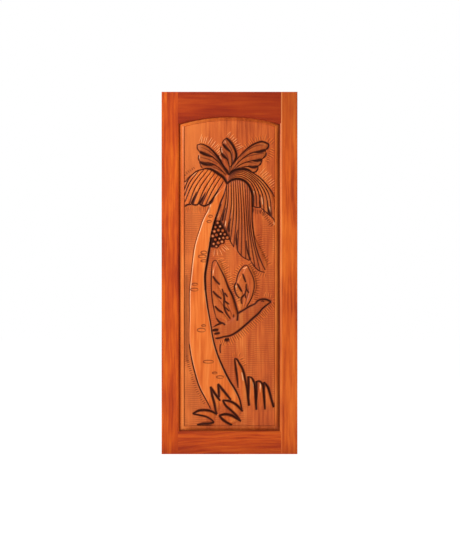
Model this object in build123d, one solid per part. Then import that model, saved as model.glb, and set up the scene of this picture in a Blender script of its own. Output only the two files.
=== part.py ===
"""A carved hardwood door leaf: two stiles, an arched top rail, a bottom rail, dowelled corners and one
raised panel carved in low relief with a palm tree, nuts, a bird in flight and grass.

Millimetres. X runs across the leaf, the carved front faces -Y and Z runs up. The origin lies under the
middle of the leaf, at the height of its bottom edge and in the middle of its thickness.
"""

from build123d import *
import math
import os

# Leaf
door_width = 762.0
door_height = 2032.0
door_thickness = 44.5
edge_ease = 1.5  # chamfer along the outer upright corners

# Stiles and rails
stile_width = 101.6
bottom_rail_height = 133.0
top_rail_height = 141.0  # from the crown of the arch to the top edge
arch_rise = 41.0  # from the springing of the arch to its crown

# Moulded inner edge and panel groove
ovolo_radius = 8.5
quirk_depth = 1.5
fillet_width = 1.5
groove_width = 12.7
groove_depth = 12.7
cope_gap = 0.5  # between a rail's stub tenon and the floor of the stile's groove

# Panel
panel_thickness = 38.0
tongue_play = 0.15  # on each face of the panel's tongue
expansion_gap = 2.0  # left at the sides and the top of the tongue
shoulder_gap = 0.5  # between the bevel's foot and the moulding's lip
bevel_width = 16.0
border_width = 8.0  # flat band between the bevel and the carved field
head_border_width = 1.0  # the same band under the arch, where it is all but gone
border_line_width = 3.0
border_line_depth = 1.2  # below the carved ground
ground_depth = 6.0  # of the carved ground below the border

# Dowels
dowel_diameter = 12.7
dowel_in_rail = 60.0
dowel_cover = 40.0  # wood left in the stile behind each dowel's hole
dowel_play = 0.1  # all round
dowel_end_gap = 2.0
top_dowel_count = 2
bottom_dowel_count = 3

# Relief above the carved ground
leaf_overhang = 9.0  # of a leaf's or a feather's point beyond the notches beside it
leaf_ridge = 7.0
leaf_valley = 2.6
leaf_tip = 2.4
feather_ridge = 6.4
feather_valley = 2.8
body_height = 7.2
trunk_height = 8.2
tuft_height = 8.8  # of the blades that stand before the trunk
blade_height = 6.0
trunk_end_share = 0.25  # of the trunk's rise, left at its ends
blade_end_share = 0.25
body_end_share = 0.25
valley_end_share = 0.4
rounded_section = (0, 0.3), (0.18, 0.8), (0.5, 1.0), (0.82, 0.8), (1, 0.3)  # share across, share of the rise
nut_radius = 11.5
nut_height = 8.0
relief_root = 6.0  # how deep the carved figures reach into the panel
outline_depth = 4.0  # of the cuts that set the figures off
cut_end_share = 0.35  # of a cut's width and depth, left at its ends
cut_lid = 0.6  # how far the cutting shape stands out of the ground

# The carving is drawn in millimetres for this field and is fitted to the real one
drawn_half_width = 255.0
drawn_foot = 161.0
drawn_crown = 1876.0
leaf_facets = 6  # along a leaf or a feather
trunk_facets = 16
body_facets = 12
blade_facets = 6
cut_facets = 8
point_merge = 0.01  # points nearer than this are one point

# Worked out from the sizes above
opening_half = door_width / 2 - stile_width
crown_height = door_height - top_rail_height
arch_radius = (opening_half**2 + arch_rise**2) / (2 * arch_rise)
arch_centre = crown_height - arch_radius
moulding_width = ovolo_radius + fillet_width
moulding_depth = ovolo_radius + quirk_depth
half_thickness = door_thickness / 2
tongue_half = groove_width / 2 - tongue_play
border_level = panel_thickness / 2
ground_level = border_level - ground_depth
field_inset = bevel_width + border_width
head_inset = bevel_width + head_border_width
field_half = opening_half - field_inset
field_foot = bottom_rail_height + field_inset
field_crown = crown_height - head_inset


def springing(side_grow, head_grow):
    """Height at which the arch meets the sides, when both are grown outwards by so much."""
    return arch_centre + math.sqrt((arch_radius + head_grow) ** 2 - (opening_half + side_grow) ** 2)


def arched_outline(grow, depth, foot_grow=None, head_grow=None):
    """The panel opening grown outwards, as a face that looks to the front at that depth."""
    foot_grow = grow if foot_grow is None else foot_grow
    head_grow = grow if head_grow is None else head_grow
    half = opening_half + grow
    foot = bottom_rail_height - foot_grow
    shoulder = springing(grow, head_grow)
    crown = arch_centre + arch_radius + head_grow
    sill = Line((-half, foot), (half, foot))
    right_side = Line((half, foot), (half, shoulder))
    head = ThreePointArc((half, shoulder), (0, crown), (-half, shoulder))
    left_side = Line((-half, shoulder), (-half, foot))
    return Plane.XZ.offset(depth) * make_face(sill + right_side + head + left_side)


def field_outline(shrink, depth):
    """The carved field, shrunk by so much, as a face that looks to the front at that depth."""
    return arched_outline(-field_inset - shrink, depth, head_grow=-head_inset - shrink)


def moulding_cutter(reach):
    """Section of the wood that is taken off an inner edge: moulding on both faces and groove.

    The first coordinate runs into the frame from the edge, the second through the thickness.
    """
    air = door_thickness
    step = half_thickness - quirk_depth
    lip = half_thickness - moulding_depth
    slot = groove_width / 2
    bulge = ovolo_radius * (1 - math.sqrt(0.5))
    front = Polyline((-reach, air), (moulding_width, air), (moulding_width, step))
    front_ovolo = ThreePointArc(
        (moulding_width, step), (fillet_width + bulge, step - bulge), (fillet_width, lip)
    )
    middle = Polyline(
        (fillet_width, lip), (0, lip), (0, slot), (groove_depth, slot),
        (groove_depth, -slot), (0, -slot), (0, -lip), (fillet_width, -lip),
    )
    back_ovolo = ThreePointArc(
        (fillet_width, -lip), (fillet_width + bulge, bulge - step), (moulding_width, -step)
    )
    back = Polyline((moulding_width, -step), (moulding_width, -air), (-reach, -air), (-reach, air))
    return make_face(front + front_ovolo + middle + back_ovolo + back)


def block(x_low, x_high, z_low, z_high):
    """Board of the leaf's full thickness between these edges."""
    board = Box(x_high - x_low, door_thickness, z_high - z_low)
    return Pos((x_low + x_high) / 2, 0, (z_low + z_high) / 2) * board


def stile(side):
    """Upright at the left (-1) or the right (1), moulded and grooved over its whole length."""
    outer = side * door_width / 2
    board = block(min(outer, side * opening_half), max(outer, side * opening_half), 0, door_height)
    corners = board.edges().filter_by(Axis.Z).filter_by(lambda edge: abs(edge.center().X - outer) < edge_ease)
    board = chamfer(corners, edge_ease)
    section = moulding_cutter(moulding_width)
    if side < 0:
        section = mirror(section, about=Plane.YZ)
    return board - extrude(Pos(side * opening_half, 0, 0) * section, amount=door_height, dir=(0, 0, 1))


def rail_board(z_low, z_high):
    """Rail before it is moulded, with enough length to fill the stiles' grooves."""
    half = opening_half + groove_depth - cope_gap
    return block(-half, half, z_low, z_high)


def bottom_rail(stiles):
    """Straight rail, moulded along its top edge and coped over both stiles."""
    section = Plane.YZ * Rot(0, 0, -90) * moulding_cutter(moulding_width)
    reach = opening_half + groove_depth
    cutter = extrude(Pos(-reach, 0, bottom_rail_height) * section, amount=2 * reach, dir=(1, 0, 0))
    return rail_board(0, bottom_rail_height) - cutter - stiles[0] - stiles[1]


def top_rail(stiles):
    """Rail with an arched underside, moulded along the arch and coped over both stiles."""
    section = Plane.YZ * Rot(0, 0, 90) * moulding_cutter(2 * arch_rise + groove_depth)
    turned = revolve(Pos(0, 0, crown_height) * section, Axis((0, 0, arch_centre), (0, 1, 0)))
    springing_line = crown_height - arch_rise
    return rail_board(springing_line, door_height) - turned - stiles[0] - stiles[1]


def spread(low, high, count):
    """Middles of so many equal shares of a length."""
    share = (high - low) / count
    return [low + share * (index + 0.5) for index in range(count)]


def dowel_heights():
    """Heights of the dowels in each corner joint, keyed by the rail's name."""
    top_floor = springing(groove_depth, groove_depth)
    bottom_floor = bottom_rail_height - groove_depth
    return {
        "top": spread(top_floor, door_height, top_dowel_count),
        "bottom": spread(0, bottom_floor, bottom_dowel_count),
    }


def rod(side, height, radius, end_gap):
    """Round rod along X through a corner joint, drawn in or out at both ends by the gap."""
    inner = opening_half - dowel_in_rail - end_gap
    outer = door_width / 2 - dowel_cover - dowel_end_gap + end_gap
    middle = side * (inner + outer) / 2
    return Pos(middle, 0, height) * Rot(0, 90, 0) * Cylinder(radius, outer - inner)


def placed(x, z, rise):
    """A drawn point of the carving, fitted to the field and raised so far above the ground."""
    across = x * field_half / drawn_half_width
    up = field_foot + (z - drawn_foot) * (field_crown - field_foot) / (drawn_crown - drawn_foot)
    return Vector(across, -(ground_level + rise), up)


def relief(columns):
    """Closed solid with flat facets whose top passes through columns of (x, z, rise) points."""
    top = [[placed(*point) for point in column] for column in columns]
    facets = []
    for left, right in zip(top, top[1:]):
        for here in range(len(left) - 1):
            corners = left[here], left[here + 1], right[here + 1], right[here]
            facets.append((corners[0], corners[1], corners[2]))
            facets.append((corners[0], corners[2], corners[3]))
    last_row = [column[-1] for column in top]
    first_row = [column[0] for column in top]
    rim = top[0] + last_row[1:] + top[-1][::-1][1:] + first_row[::-1][1:-1]
    pairs = zip(rim, rim[-1:] + rim[:-1])
    rim = [point for point, before in pairs if (point - before).length > point_merge]
    floor = [Vector(point.X, relief_root - ground_level, point.Z) for point in rim]
    facets.append(floor)
    for index in range(len(rim)):
        before = index - 1
        facets.append((rim[before], rim[index], floor[index], floor[before]))
    return faceted(facets)


def faceted(facets):
    """Closed solid with a flat face on each ring of points."""
    faces = []
    for points in facets:
        ring = []
        for point in points:
            if all((point - other).length > point_merge for other in ring):
                ring.append(point)
        if len(ring) > 2:
            faces.append(Face(Wire.make_polygon(ring, close=True)))
    solid = Solid(Shell(faces))
    return solid if solid.volume > 0 else Solid(Shell([-face for face in faces]))


def run(points, count=leaf_facets):
    """Evenly spaced points along a smooth curve through drawn points."""
    curve = Spline(*points)
    samples = [curve @ (index / count) for index in range(count + 1)]
    return [(sample.X, sample.Y) for sample in samples]


def fan(lines, ridge, valley):
    """Leaves or feathers side by side: drawn lines are the valleys, with a ridge between each two.

    Each ridge runs on past the valleys beside it, so that the leaf ends in a point.
    """
    valleys = [run(line) for line in lines]
    columns = []
    for left, right in zip(valleys, valleys[1:]):
        middle = [((a[0] + b[0]) / 2, (a[1] + b[1]) / 2) for a, b in zip(left, right)]
        along = middle[-1][0] - middle[-2][0], middle[-1][1] - middle[-2][1]
        share = leaf_overhang / math.hypot(*along)
        middle[-1] = middle[-1][0] + along[0] * share, middle[-1][1] + along[1] * share
        columns.append(raised(left, valley, valley * valley_end_share))
        columns.append(raised(middle, ridge, leaf_tip))
    columns.append(raised(valleys[-1], valley, valley * valley_end_share))
    return relief(columns)


def raised(points, height, end_height):
    """Drawn points with a rise that swells along the line and falls off towards its end."""
    last = len(points) - 1
    rises = []
    for index in range(last + 1):
        t = index / last
        swell = math.sin(math.pi * (0.25 + t / 2))
        rises.append(height * swell * (1 - t**3) + end_height * t**3)
    return [(x, z, rise) for (x, z), rise in zip(points, rises)]


def pillow(edge_a, edge_b, height, count, end_share):
    """Rounded body between two drawn edges that run the same way."""
    line_a = run(edge_a, count)
    line_b = run(edge_b, count)
    columns = []
    for share, level in rounded_section:
        column = []
        for index, (a, b) in enumerate(zip(line_a, line_b)):
            x = a[0] + (b[0] - a[0]) * share
            z = a[1] + (b[1] - a[1]) * share
            if 0 < index < count:
                swell = math.sin(math.pi * index / count) ** 0.5
                rise = height * level * (end_share + (1 - end_share) * swell)
            else:
                rise = height * end_share
            column.append((x, z, rise))
        columns.append(column)
    return relief(columns)


def outline_cut(points, width):
    """V-shaped cut of the ground along a drawn line, shallower and narrower towards its ends."""
    count = cut_facets
    centre = run(points, count)
    sides = ([], [], [])
    for index, (x, z) in enumerate(centre):
        before = centre[max(index - 1, 0)]
        after = centre[min(index + 1, count)]
        length = math.hypot(after[0] - before[0], after[1] - before[1])
        normal = (before[1] - after[1]) / length, (after[0] - before[0]) / length
        swell = cut_end_share + (1 - cut_end_share) * math.sin(math.pi * index / count)
        half = width / 2 * swell
        depth = outline_depth * swell
        for column, offset, rise in zip(sides, (-half, 0, half), (0, -depth, 0)):
            column.append((x + normal[0] * offset, z + normal[1] * offset, rise))
    return groove_prism(sides)


def groove_prism(sides):
    """Closed solid of the air in a V cut: its two slopes, and a lid a little above the ground."""
    left, bottom, right = [[placed(*point) for point in column] for column in sides]
    lid_left, lid_right = [
        [Vector(point.X, point.Y - cut_lid, point.Z) for point in column] for column in (left, right)
    ]
    rings = list(zip(left, bottom, right, lid_right, lid_left))
    facets = [rings[0], rings[-1]]
    for here, there in zip(rings, rings[1:]):
        for corner in range(len(here)):
            after = (corner + 1) % len(here)
            facets.append((here[corner], here[after], there[after]))
            facets.append((here[corner], there[after], there[corner]))
    return faceted(facets)


def crown_fronds():
    """The palm's six fronds, from the three upright ones to the long one in front."""
    left_plume = [
        ((-4, 1574), (-38, 1628), (-78, 1690), (-124, 1728), (-172, 1743)),
        ((-12, 1572), (-52, 1630), (-98, 1672), (-165, 1697)),
        ((-20, 1568), (-56, 1606), (-98, 1632), (-167, 1640)),
        ((-30, 1562), (-62, 1585), (-100, 1602), (-150, 1608)),
    ]
    middle_plume = [
        ((8, 1586), (32, 1638), (36, 1700), (-16, 1774)),
        ((5, 1586), (14, 1640), (4, 1700), (-36, 1744)),
        ((1, 1586), (-4, 1630), (-16, 1660), (-46, 1690)),
        ((-4, 1586), (-16, 1616), (-36, 1646), (-60, 1672)),
    ]
    right_plume = [
        ((10, 1596), (50, 1664), (112, 1722), (166, 1748), (214, 1744)),
        ((15, 1596), (60, 1648), (120, 1690), (203, 1709)),
        ((20, 1596), (62, 1626), (116, 1646), (178, 1651)),
        ((26, 1597), (64, 1609), (110, 1617), (160, 1614)),
        ((34, 1596), (66, 1603), (104, 1602), (146, 1588)),
    ]
    left_frond = [
        ((-229, 1556), (-244, 1544), (-253, 1522)),
        ((-204, 1576), (-232, 1538), (-252, 1488)),
        ((-172, 1592), (-222, 1526), (-252, 1452)),
        ((-142, 1602), (-206, 1516), (-249, 1420)),
        ((-116, 1602), (-190, 1500), (-226, 1404)),
        ((-96, 1596), (-166, 1496), (-205, 1402)),
        ((-78, 1586), (-140, 1490), (-178, 1402)),
        ((-60, 1574), (-112, 1492), (-156, 1400)),
        ((-44, 1562), (-92, 1486), (-134, 1400)),
        ((-28, 1546), (-70, 1476), (-112, 1408)),
    ]
    right_frond = [
        ((-10, 1536), (46, 1552), (104, 1522), (128, 1470), (133, 1400)),
        ((-9, 1542), (50, 1562), (114, 1532), (146, 1470), (153, 1394)),
        ((-8, 1548), (54, 1572), (124, 1538), (162, 1474), (173, 1386)),
        ((-7, 1554), (58, 1581), (134, 1542), (178, 1478), (195, 1354)),
        ((-6, 1560), (62, 1589), (143, 1547), (196, 1478), (218, 1350)),
        ((-5, 1566), (67, 1596), (152, 1552), (212, 1480), (238, 1326)),
        ((-3, 1572), (73, 1602), (162, 1558), (226, 1484), (253, 1410)),
    ]
    front_frond = [
        ((-22, 1520), (-42, 1432), (-78, 1318)),
        ((-14, 1524), (-22, 1410), (-52, 1312)),
        ((-4, 1530), (-12, 1392), (-34, 1276)),
        ((10, 1536), (10, 1388), (-14, 1254)),
        ((22, 1541), (24, 1368), (6, 1204)),
        ((34, 1544), (40, 1350), (24, 1166)),
        ((46, 1545), (54, 1336), (45, 1140)),
        ((58, 1543), (70, 1316), (66, 1114)),
        ((72, 1540), (86, 1296), (92, 1100)),
        ((86, 1532), (100, 1280), (113, 1094)),
        ((100, 1520), (112, 1260), (142, 1058)),
        ((112, 1502), (122, 1248), (170, 1036)),
        ((122, 1482), (134, 1246), (193, 1032)),
    ]
    upright = [left_plume, middle_plume, right_plume]
    hanging = [left_frond, right_frond, front_frond]
    return [fan(lines, leaf_ridge, leaf_valley) for lines in upright + hanging]


def trunk():
    """Leaning trunk, from under the crown down to the grass."""
    left = [
        (-86, 1500), (-141, 1334), (-194, 1173), (-215, 1005), (-224, 780), (-213, 542), (-169, 381),
        (-109, 262),
    ]
    right = [
        (-18, 1510), (-76, 1327), (-109, 1173), (-136, 1000), (-122, 829), (-94, 661), (-36, 489),
        (48, 342), (68, 262),
    ]
    return pillow(left, right, trunk_height, trunk_facets, trunk_end_share)


def nuts():
    """Round nuts that hang in a cluster under the crown."""
    sink = nut_radius - nut_height
    rows = [
        (1297, (-66,)), (1272, (-76, -48)), (1247, (-84, -58, -30)), (1222, (-92, -67, -42, -17)),
        (1197, (-78, -53, -28)), (1174, (-92, -66)),
    ]
    places = [placed(x, z, -sink) for z, row in rows for x in row]
    return [Pos(place) * Sphere(nut_radius) for place in places]


def bird():
    """Bird in flight with both wings up: two wings of feathers, body and beak, and a forked tail."""
    left_wing = [
        ((40, 770), (2, 930), (-68, 1082)),
        ((22, 768), (-36, 890), (-97, 1004)),
        ((8, 764), (-42, 850), (-98, 920)),
        ((-6, 758), (-44, 806), (-86, 838)),
        ((-16, 748), (-44, 764), (-76, 768)),
    ]
    right_wing = [
        ((98, 832), (150, 960), (100, 1060)),
        ((84, 826), (108, 930), (74, 1022)),
        ((72, 820), (74, 908), (44, 976)),
        ((58, 812), (34, 880), (30, 944)),
    ]
    back_line = [
        (-88, 716), (-40, 738), (14, 762), (52, 797), (115, 833), (160, 864), (203, 871), (234, 858),
    ]
    belly_line = [
        (-70, 652), (-32, 661), (20, 675), (66, 707), (100, 735), (164, 794), (204, 836), (233, 857),
    ]
    tail = [
        ((-30, 734), (-64, 728), (-92, 716)),
        ((-30, 712), (-62, 706), (-82, 698)),
        ((-28, 690), (-58, 682), (-80, 678)),
        ((-24, 668), (-50, 660), (-72, 654)),
    ]
    feathers = [fan(lines, feather_ridge, feather_valley) for lines in (left_wing, right_wing, tail)]
    return feathers + [pillow(back_line, belly_line, body_height, body_facets, body_end_share)]


def grass():
    """Blades of grass in two tufts at the foot of the trunk, each from its tip to its root."""
    tuft = [
        ([(-106, 379), (-96, 330), (-74, 228)], [(-106, 379), (-78, 344), (-50, 262)]),
        ([(-64, 395), (-58, 330), (-48, 262)], [(-64, 395), (-20, 344), (12, 296)]),
        ([(-38, 307), (14, 298), (72, 246)], [(-38, 305), (0, 258), (50, 208)]),
        ([(-58, 222), (0, 224), (60, 190)], [(-58, 220), (-30, 190), (14, 168)]),
        ([(-205, 231), (-140, 251), (-72, 226)], [(-205, 229), (-140, 216), (-86, 184)]),
        ([(-184, 167), (-140, 182), (-88, 186)], [(-184, 166), (-130, 165), (-84, 168)]),
    ]
    stand = [
        ([(34, 540), (50, 430), (74, 246)], [(34, 540), (84, 446), (110, 262)]),
        ([(116, 441), (112, 360), (111, 250)], [(116, 441), (144, 372), (152, 236)]),
        ([(174, 408), (158, 330), (153, 240)], [(174, 408), (190, 350), (199, 240)]),
        ([(200, 406), (200, 330), (200, 240)], [(200, 406), (232, 336), (250, 250)]),
    ]
    return [
        pillow(left, right, height, blade_facets, blade_end_share)
        for blades, height in ((tuft, tuft_height), (stand, blade_height))
        for left, right in blades
    ]


def outline_cuts():
    """Deep cuts in the ground beside the figures."""
    lines = [
        ([(-94, 1255), (-109, 1173), (-126, 1089), (-134, 924), (-115, 784), (-94, 661), (-70, 572)], 10),
        ([(-36, 489), (3, 412), (48, 342), (66, 280)], 10),
        ([(-78, 1455), (-96, 1430), (-112, 1408)], 10),
        ([(-30, 1566), (-64, 1588), (-112, 1608), (-158, 1606), (-208, 1582), (-246, 1542)], 9),
        ([(24, 1598), (73, 1607), (125, 1591), (170, 1560), (216, 1510), (250, 1440)], 9),
        ([(130, 1470), (137, 1400), (134, 1300), (141, 1215), (166, 1117), (198, 1036)], 8),
        ([(46, 760), (38, 826), (2, 928), (-32, 1005), (-66, 1086)], 9),
        ([(56, 794), (110, 826), (160, 860), (200, 872), (226, 865)], 9),
        ([(-66, 648), (3, 664), (66, 702), (129, 758), (185, 814), (232, 854)], 10),
        ([(34, 530), (42, 450), (48, 376)], 12),
        ([(112, 428), (112, 350), (111, 278)], 9),
        ([(156, 404), (154, 320), (152, 252)], 9),
        ([(200, 398), (200, 330), (200, 256)], 9),
        ([(202, 404), (230, 340), (248, 268)], 8),
    ]
    return [outline_cut(points, width) for points, width in lines]


def carved_panel():
    """Raised panel: tongue, bevels to a flat border on both faces, and the carved front field."""
    tongue_grow = groove_depth - expansion_gap
    tongue = extrude(
        arched_outline(tongue_grow, -tongue_half, foot_grow=groove_depth), amount=2 * tongue_half
    )
    slab = tongue
    for face in (1, -1):
        foot_of_bevel = arched_outline(-shoulder_gap, face * tongue_half)
        top_of_bevel = arched_outline(-bevel_width, face * border_level)
        slab += loft([foot_of_bevel, top_of_bevel], ruled=True)
    pocket = extrude(field_outline(0, ground_level), amount=2 * ground_depth)
    line_floor = ground_level - border_line_depth
    line = extrude(field_outline(0, line_floor), amount=ground_depth)
    line -= extrude(field_outline(border_line_width, line_floor), amount=ground_depth)
    field = slab - pocket - line
    field -= outline_cuts()
    figures = [trunk()] + crown_fronds() + nuts() + bird() + grass()
    return field + figures


def main():
    """Builds every piece and writes one file for each."""
    stiles = [stile(-1), stile(1)]
    pieces = {
        "hinge_stile": stiles[0],
        "lock_stile": stiles[1],
        "top_rail": top_rail(stiles),
        "bottom_rail": bottom_rail(stiles),
        "carved_panel": carved_panel(),
    }
    for rail, heights in dowel_heights().items():
        for side, side_name in ((-1, "hinge"), (1, "lock")):
            for number, height in enumerate(heights, start=1):
                hole = rod(side, height, dowel_diameter / 2 + dowel_play, dowel_end_gap)
                pieces[side_name + "_stile"] -= hole
                pieces[rail + "_rail"] -= hole
                dowel = rod(side, height, dowel_diameter / 2, 0)
                pieces[f"{rail}_{side_name}_dowel_{number}"] = dowel
    os.makedirs("parts", exist_ok=True)
    for name, piece in pieces.items():
        export_step(piece, f"parts/{name}.step")
        print(name, round(piece.volume), piece.bounding_box().size)


main()
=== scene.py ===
# %% [markdown]
# # A carved hardwood door leaf
# The real thing is a stile-and-rail door: two uprights, an arched top rail and a straight bottom rail hold one
# wide raised panel, whose front is carved in low relief with a palm, nuts, a bird in flight and grass.
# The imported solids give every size. Blender could dress them as they are, which suits the plain frame members,
# but a carver's rounded leaves and gouge marks need far more faces than a solid should have. So the frame
# members keep their solids and get a stained-wood finish, and the panel is modelled again, finely, as the three
# staves that a panel of this width is glued up from.

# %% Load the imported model
import math

import bpy
import numpy as np
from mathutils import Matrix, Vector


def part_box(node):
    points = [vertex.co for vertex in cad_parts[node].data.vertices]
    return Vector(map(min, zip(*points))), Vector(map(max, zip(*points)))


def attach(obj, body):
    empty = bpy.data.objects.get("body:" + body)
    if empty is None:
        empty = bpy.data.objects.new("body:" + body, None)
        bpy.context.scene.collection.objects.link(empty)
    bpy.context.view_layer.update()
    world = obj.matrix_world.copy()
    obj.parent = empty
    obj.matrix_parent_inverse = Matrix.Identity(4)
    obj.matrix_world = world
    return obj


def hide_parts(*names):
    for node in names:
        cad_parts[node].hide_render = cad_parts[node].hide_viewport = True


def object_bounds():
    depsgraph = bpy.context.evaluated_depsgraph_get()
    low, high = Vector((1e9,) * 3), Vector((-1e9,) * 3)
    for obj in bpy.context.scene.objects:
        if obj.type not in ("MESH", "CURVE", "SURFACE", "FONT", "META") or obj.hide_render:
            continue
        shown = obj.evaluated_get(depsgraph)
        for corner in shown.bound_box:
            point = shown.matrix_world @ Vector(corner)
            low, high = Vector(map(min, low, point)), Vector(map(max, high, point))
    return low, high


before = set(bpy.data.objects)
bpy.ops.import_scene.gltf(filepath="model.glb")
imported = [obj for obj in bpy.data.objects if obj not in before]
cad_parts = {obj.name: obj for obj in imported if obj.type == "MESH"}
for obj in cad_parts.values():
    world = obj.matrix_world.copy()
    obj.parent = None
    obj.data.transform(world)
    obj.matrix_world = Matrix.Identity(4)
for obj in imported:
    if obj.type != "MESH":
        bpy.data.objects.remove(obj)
cad_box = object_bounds()
print("solids:", ", ".join(sorted(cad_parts)))
print("leaf, in metres:", [round(high - low, 4) for low, high in zip(*cad_box)])

# %% [markdown]
# ## Sizes
# The panel opening is a rectangle with a low arch on top. Everything on the panel is set out from it, grown or
# shrunk by a few millimetres, so its half width, foot, crown and arch are read off the panel's box once. From
# here on lengths are in millimetres, as a joiner would write them, and only finished meshes go to metres.

# %% Read the opening off the panel's box
MM = 0.001
tongue_reach = 10.7  # of the panel's tongue into the side and top grooves
tongue_foot = 12.7  # of the tongue into the bottom rail's groove
tongue_half = 6.2  # half the tongue's thickness
arch_rise = 41.0
ground_depth = 6.0  # of the carved ground below the border

panel_low, panel_high = [[value / MM for value in corner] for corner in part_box("carved_panel")]
opening_half = panel_high[0] - tongue_reach
opening_foot = panel_low[2] + tongue_foot
opening_crown = panel_high[2] - tongue_reach
arch_radius = (opening_half**2 + arch_rise**2) / (2 * arch_rise)
arch_centre = opening_crown - arch_radius
border_level = panel_high[1]
ground_level = border_level - ground_depth
highest_rise = -panel_low[1] - ground_level
print(f"opening {2 * opening_half:.1f} wide, from {opening_foot:.1f} up to {opening_crown:.1f}")
print(f"border at {border_level:.1f}, ground at {ground_level:.1f}, figures up to {highest_rise:.1f} above it")

# %% [markdown]
# ## Camera
# The photograph looks straight at the door's face from far away, with no lean and hardly any perspective. A
# long lens from nine metres gives that. Its focal length follows from how many millimetres one pixel of the
# photograph spans at the face, and its place from the pixel of the door's middle and foot.

# %% Set up the camera
photo_width, photo_height = 460, 544
photo_pitch = 5.608  # millimetres of the door's face to one pixel
door_middle_pixel = 229.52
door_foot_pixel = 454.15
camera_distance = 9.0
sensor = 36.0


def make_camera():
    lens = bpy.data.cameras.new("door_camera")
    lens.sensor_width = sensor
    lens.lens = sensor * camera_distance / (photo_height * photo_pitch * MM)
    camera = bpy.data.objects.new("door_camera", lens)
    across = (photo_width / 2 - door_middle_pixel) * photo_pitch * MM
    up = (door_foot_pixel - photo_height / 2) * photo_pitch * MM
    camera.location = across, cad_box[0].y - camera_distance, up
    camera.rotation_euler = math.radians(90), 0, 0
    bpy.context.scene.collection.objects.link(camera)
    bpy.context.scene.camera = camera
    return camera


camera = make_camera()
print(f"camera {camera_distance} m away with a {camera.data.lens:.1f} mm lens")

# %% [markdown]
# ## Shader maths
# A stained wood is mostly arithmetic on noise: add a fine streak to a broad one, take away a mask, and so on.
# In the node editor each step is one Math node. Wrapping a socket in a small class lets the same network be
# written as an expression, such as `1 - mask * 0.5`, and each operator adds its own Math node.

# %% A socket that does arithmetic
class Wire:
    """A value that flows out of a shader node."""

    def __init__(self, finish, socket):
        self.finish = finish
        self.socket = socket

    def join(self, operation, first, second):
        return self.finish.node("ShaderNodeMath", {"operation": operation}, {0: first, 1: second})

    def __add__(self, other):
        return self.join("ADD", self, other)

    def __sub__(self, other):
        return self.join("SUBTRACT", self, other)

    def __rsub__(self, other):
        return self.join("SUBTRACT", other, self)

    def __mul__(self, other):
        return self.join("MULTIPLY", self, other)

    def __truediv__(self, other):
        return self.join("DIVIDE", self, other)

    def __pow__(self, other):
        return self.join("POWER", self, other)

    __radd__ = __add__
    __rmul__ = __mul__

    def size(self):
        return self.join("ABSOLUTE", self, 0)

    def wave(self):
        return self.join("SINE", self, 0)

    def step(self, low, high):
        """Climbs smoothly from 0 at low to 1 at high, or falls if low is the larger."""
        return self.finish.node(
            "ShaderNodeMapRange", {"interpolation_type": "SMOOTHSTEP"}, {0: self, 1: low, 2: high}
        )


# %% A finish made of nodes
class Finish:
    """The nodes of one finish, on a material or on the world behind the door."""

    def __init__(self, owner):
        self.owner = owner
        owner.use_nodes = True
        self.tree = owner.node_tree
        self.tree.nodes.clear()

    def node(self, kind, settings, values, output=0):
        """Adds a node: its settings first, then the values or wires of its sockets."""
        made = self.tree.nodes.new(kind)
        for name, value in settings.items():
            if name == "stops":
                set_stops(made.color_ramp, value)
            else:
                setattr(made, name, value)
        for name, value in values.items():
            if isinstance(value, Wire):
                self.tree.links.new(value.socket, made.inputs[name])
            else:
                made.inputs[name].default_value = value
        return Wire(self, made.outputs[output]) if len(made.outputs) else made

    def place(self):
        return self.node("ShaderNodeTexCoord", {}, {}, "Object")

    def parts(self):
        """X, Y and Z of a point's place on the object."""
        place = self.place()
        return [self.node("ShaderNodeSeparateXYZ", {}, {0: place}, axis) for axis in "XYZ"]

    def vector(self, x, y, z):
        return self.node("ShaderNodeCombineXYZ", {}, {0: x, 1: y, 2: z})

    def noise(self, vector, detail=2, scale=1.0):
        return self.node("ShaderNodeTexNoise", {}, {"Vector": vector, "Scale": scale, "Detail": detail})

    def ramp(self, value, *stops):
        """The shade of a value, from stops of a position and a shade each."""
        painted = [(position, paint(*shade)) for position, shade in stops]
        return self.node("ShaderNodeValToRGB", {"stops": painted}, {0: value})

    def mix(self, share, *colours):
        """From the first colour towards the second by that share. A colour is a wire or a shade."""
        first, second = [colour if isinstance(colour, Wire) else paint(*colour) for colour in colours]
        return self.node("ShaderNodeMix", {"data_type": "RGBA"}, {0: share, 6: first, 7: second}, 2)

    def spot(self, name):
        """The value painted on each point of the mesh under that name."""
        return self.node("ShaderNodeAttribute", {"attribute_name": name}, {}, "Fac")

    def surface(self, shader):
        self.node("ShaderNodeOutputMaterial", {}, {"Surface": shader})
        return self.owner


# %% Shades and ramps
def set_stops(ramp, stops):
    while len(ramp.elements) < len(stops):
        ramp.elements.new(1.0)
    for element, (position, colour) in zip(ramp.elements, stops):
        element.position = position
        element.color = colour


def paint(red, green, blue):
    """A shade as it is read off a screen, 0 to 255, turned into the light that Blender mixes."""
    shares = [value / 255 for value in (red, green, blue)]
    return *[s / 12.92 if s <= 0.04045 else ((s + 0.055) / 1.055) ** 2.4 for s in shares], 1.0


print("orange stain as light:", [round(value, 3) for value in paint(210, 88, 33)])

# %% [markdown]
# ## Stained wood
# The frame is one species under a red-orange stain and a satin lacquer. Real boards show broad zones of colour
# a hand wide, streaks as wide as a finger, and fine pores, all drawn out along the grain. An image could give
# this, but noise stretched along the grain works in all three directions, so end grain and mouldings match the
# faces. Each member has its own grain direction, shades and place in the noise, as no two boards are alike.

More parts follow.
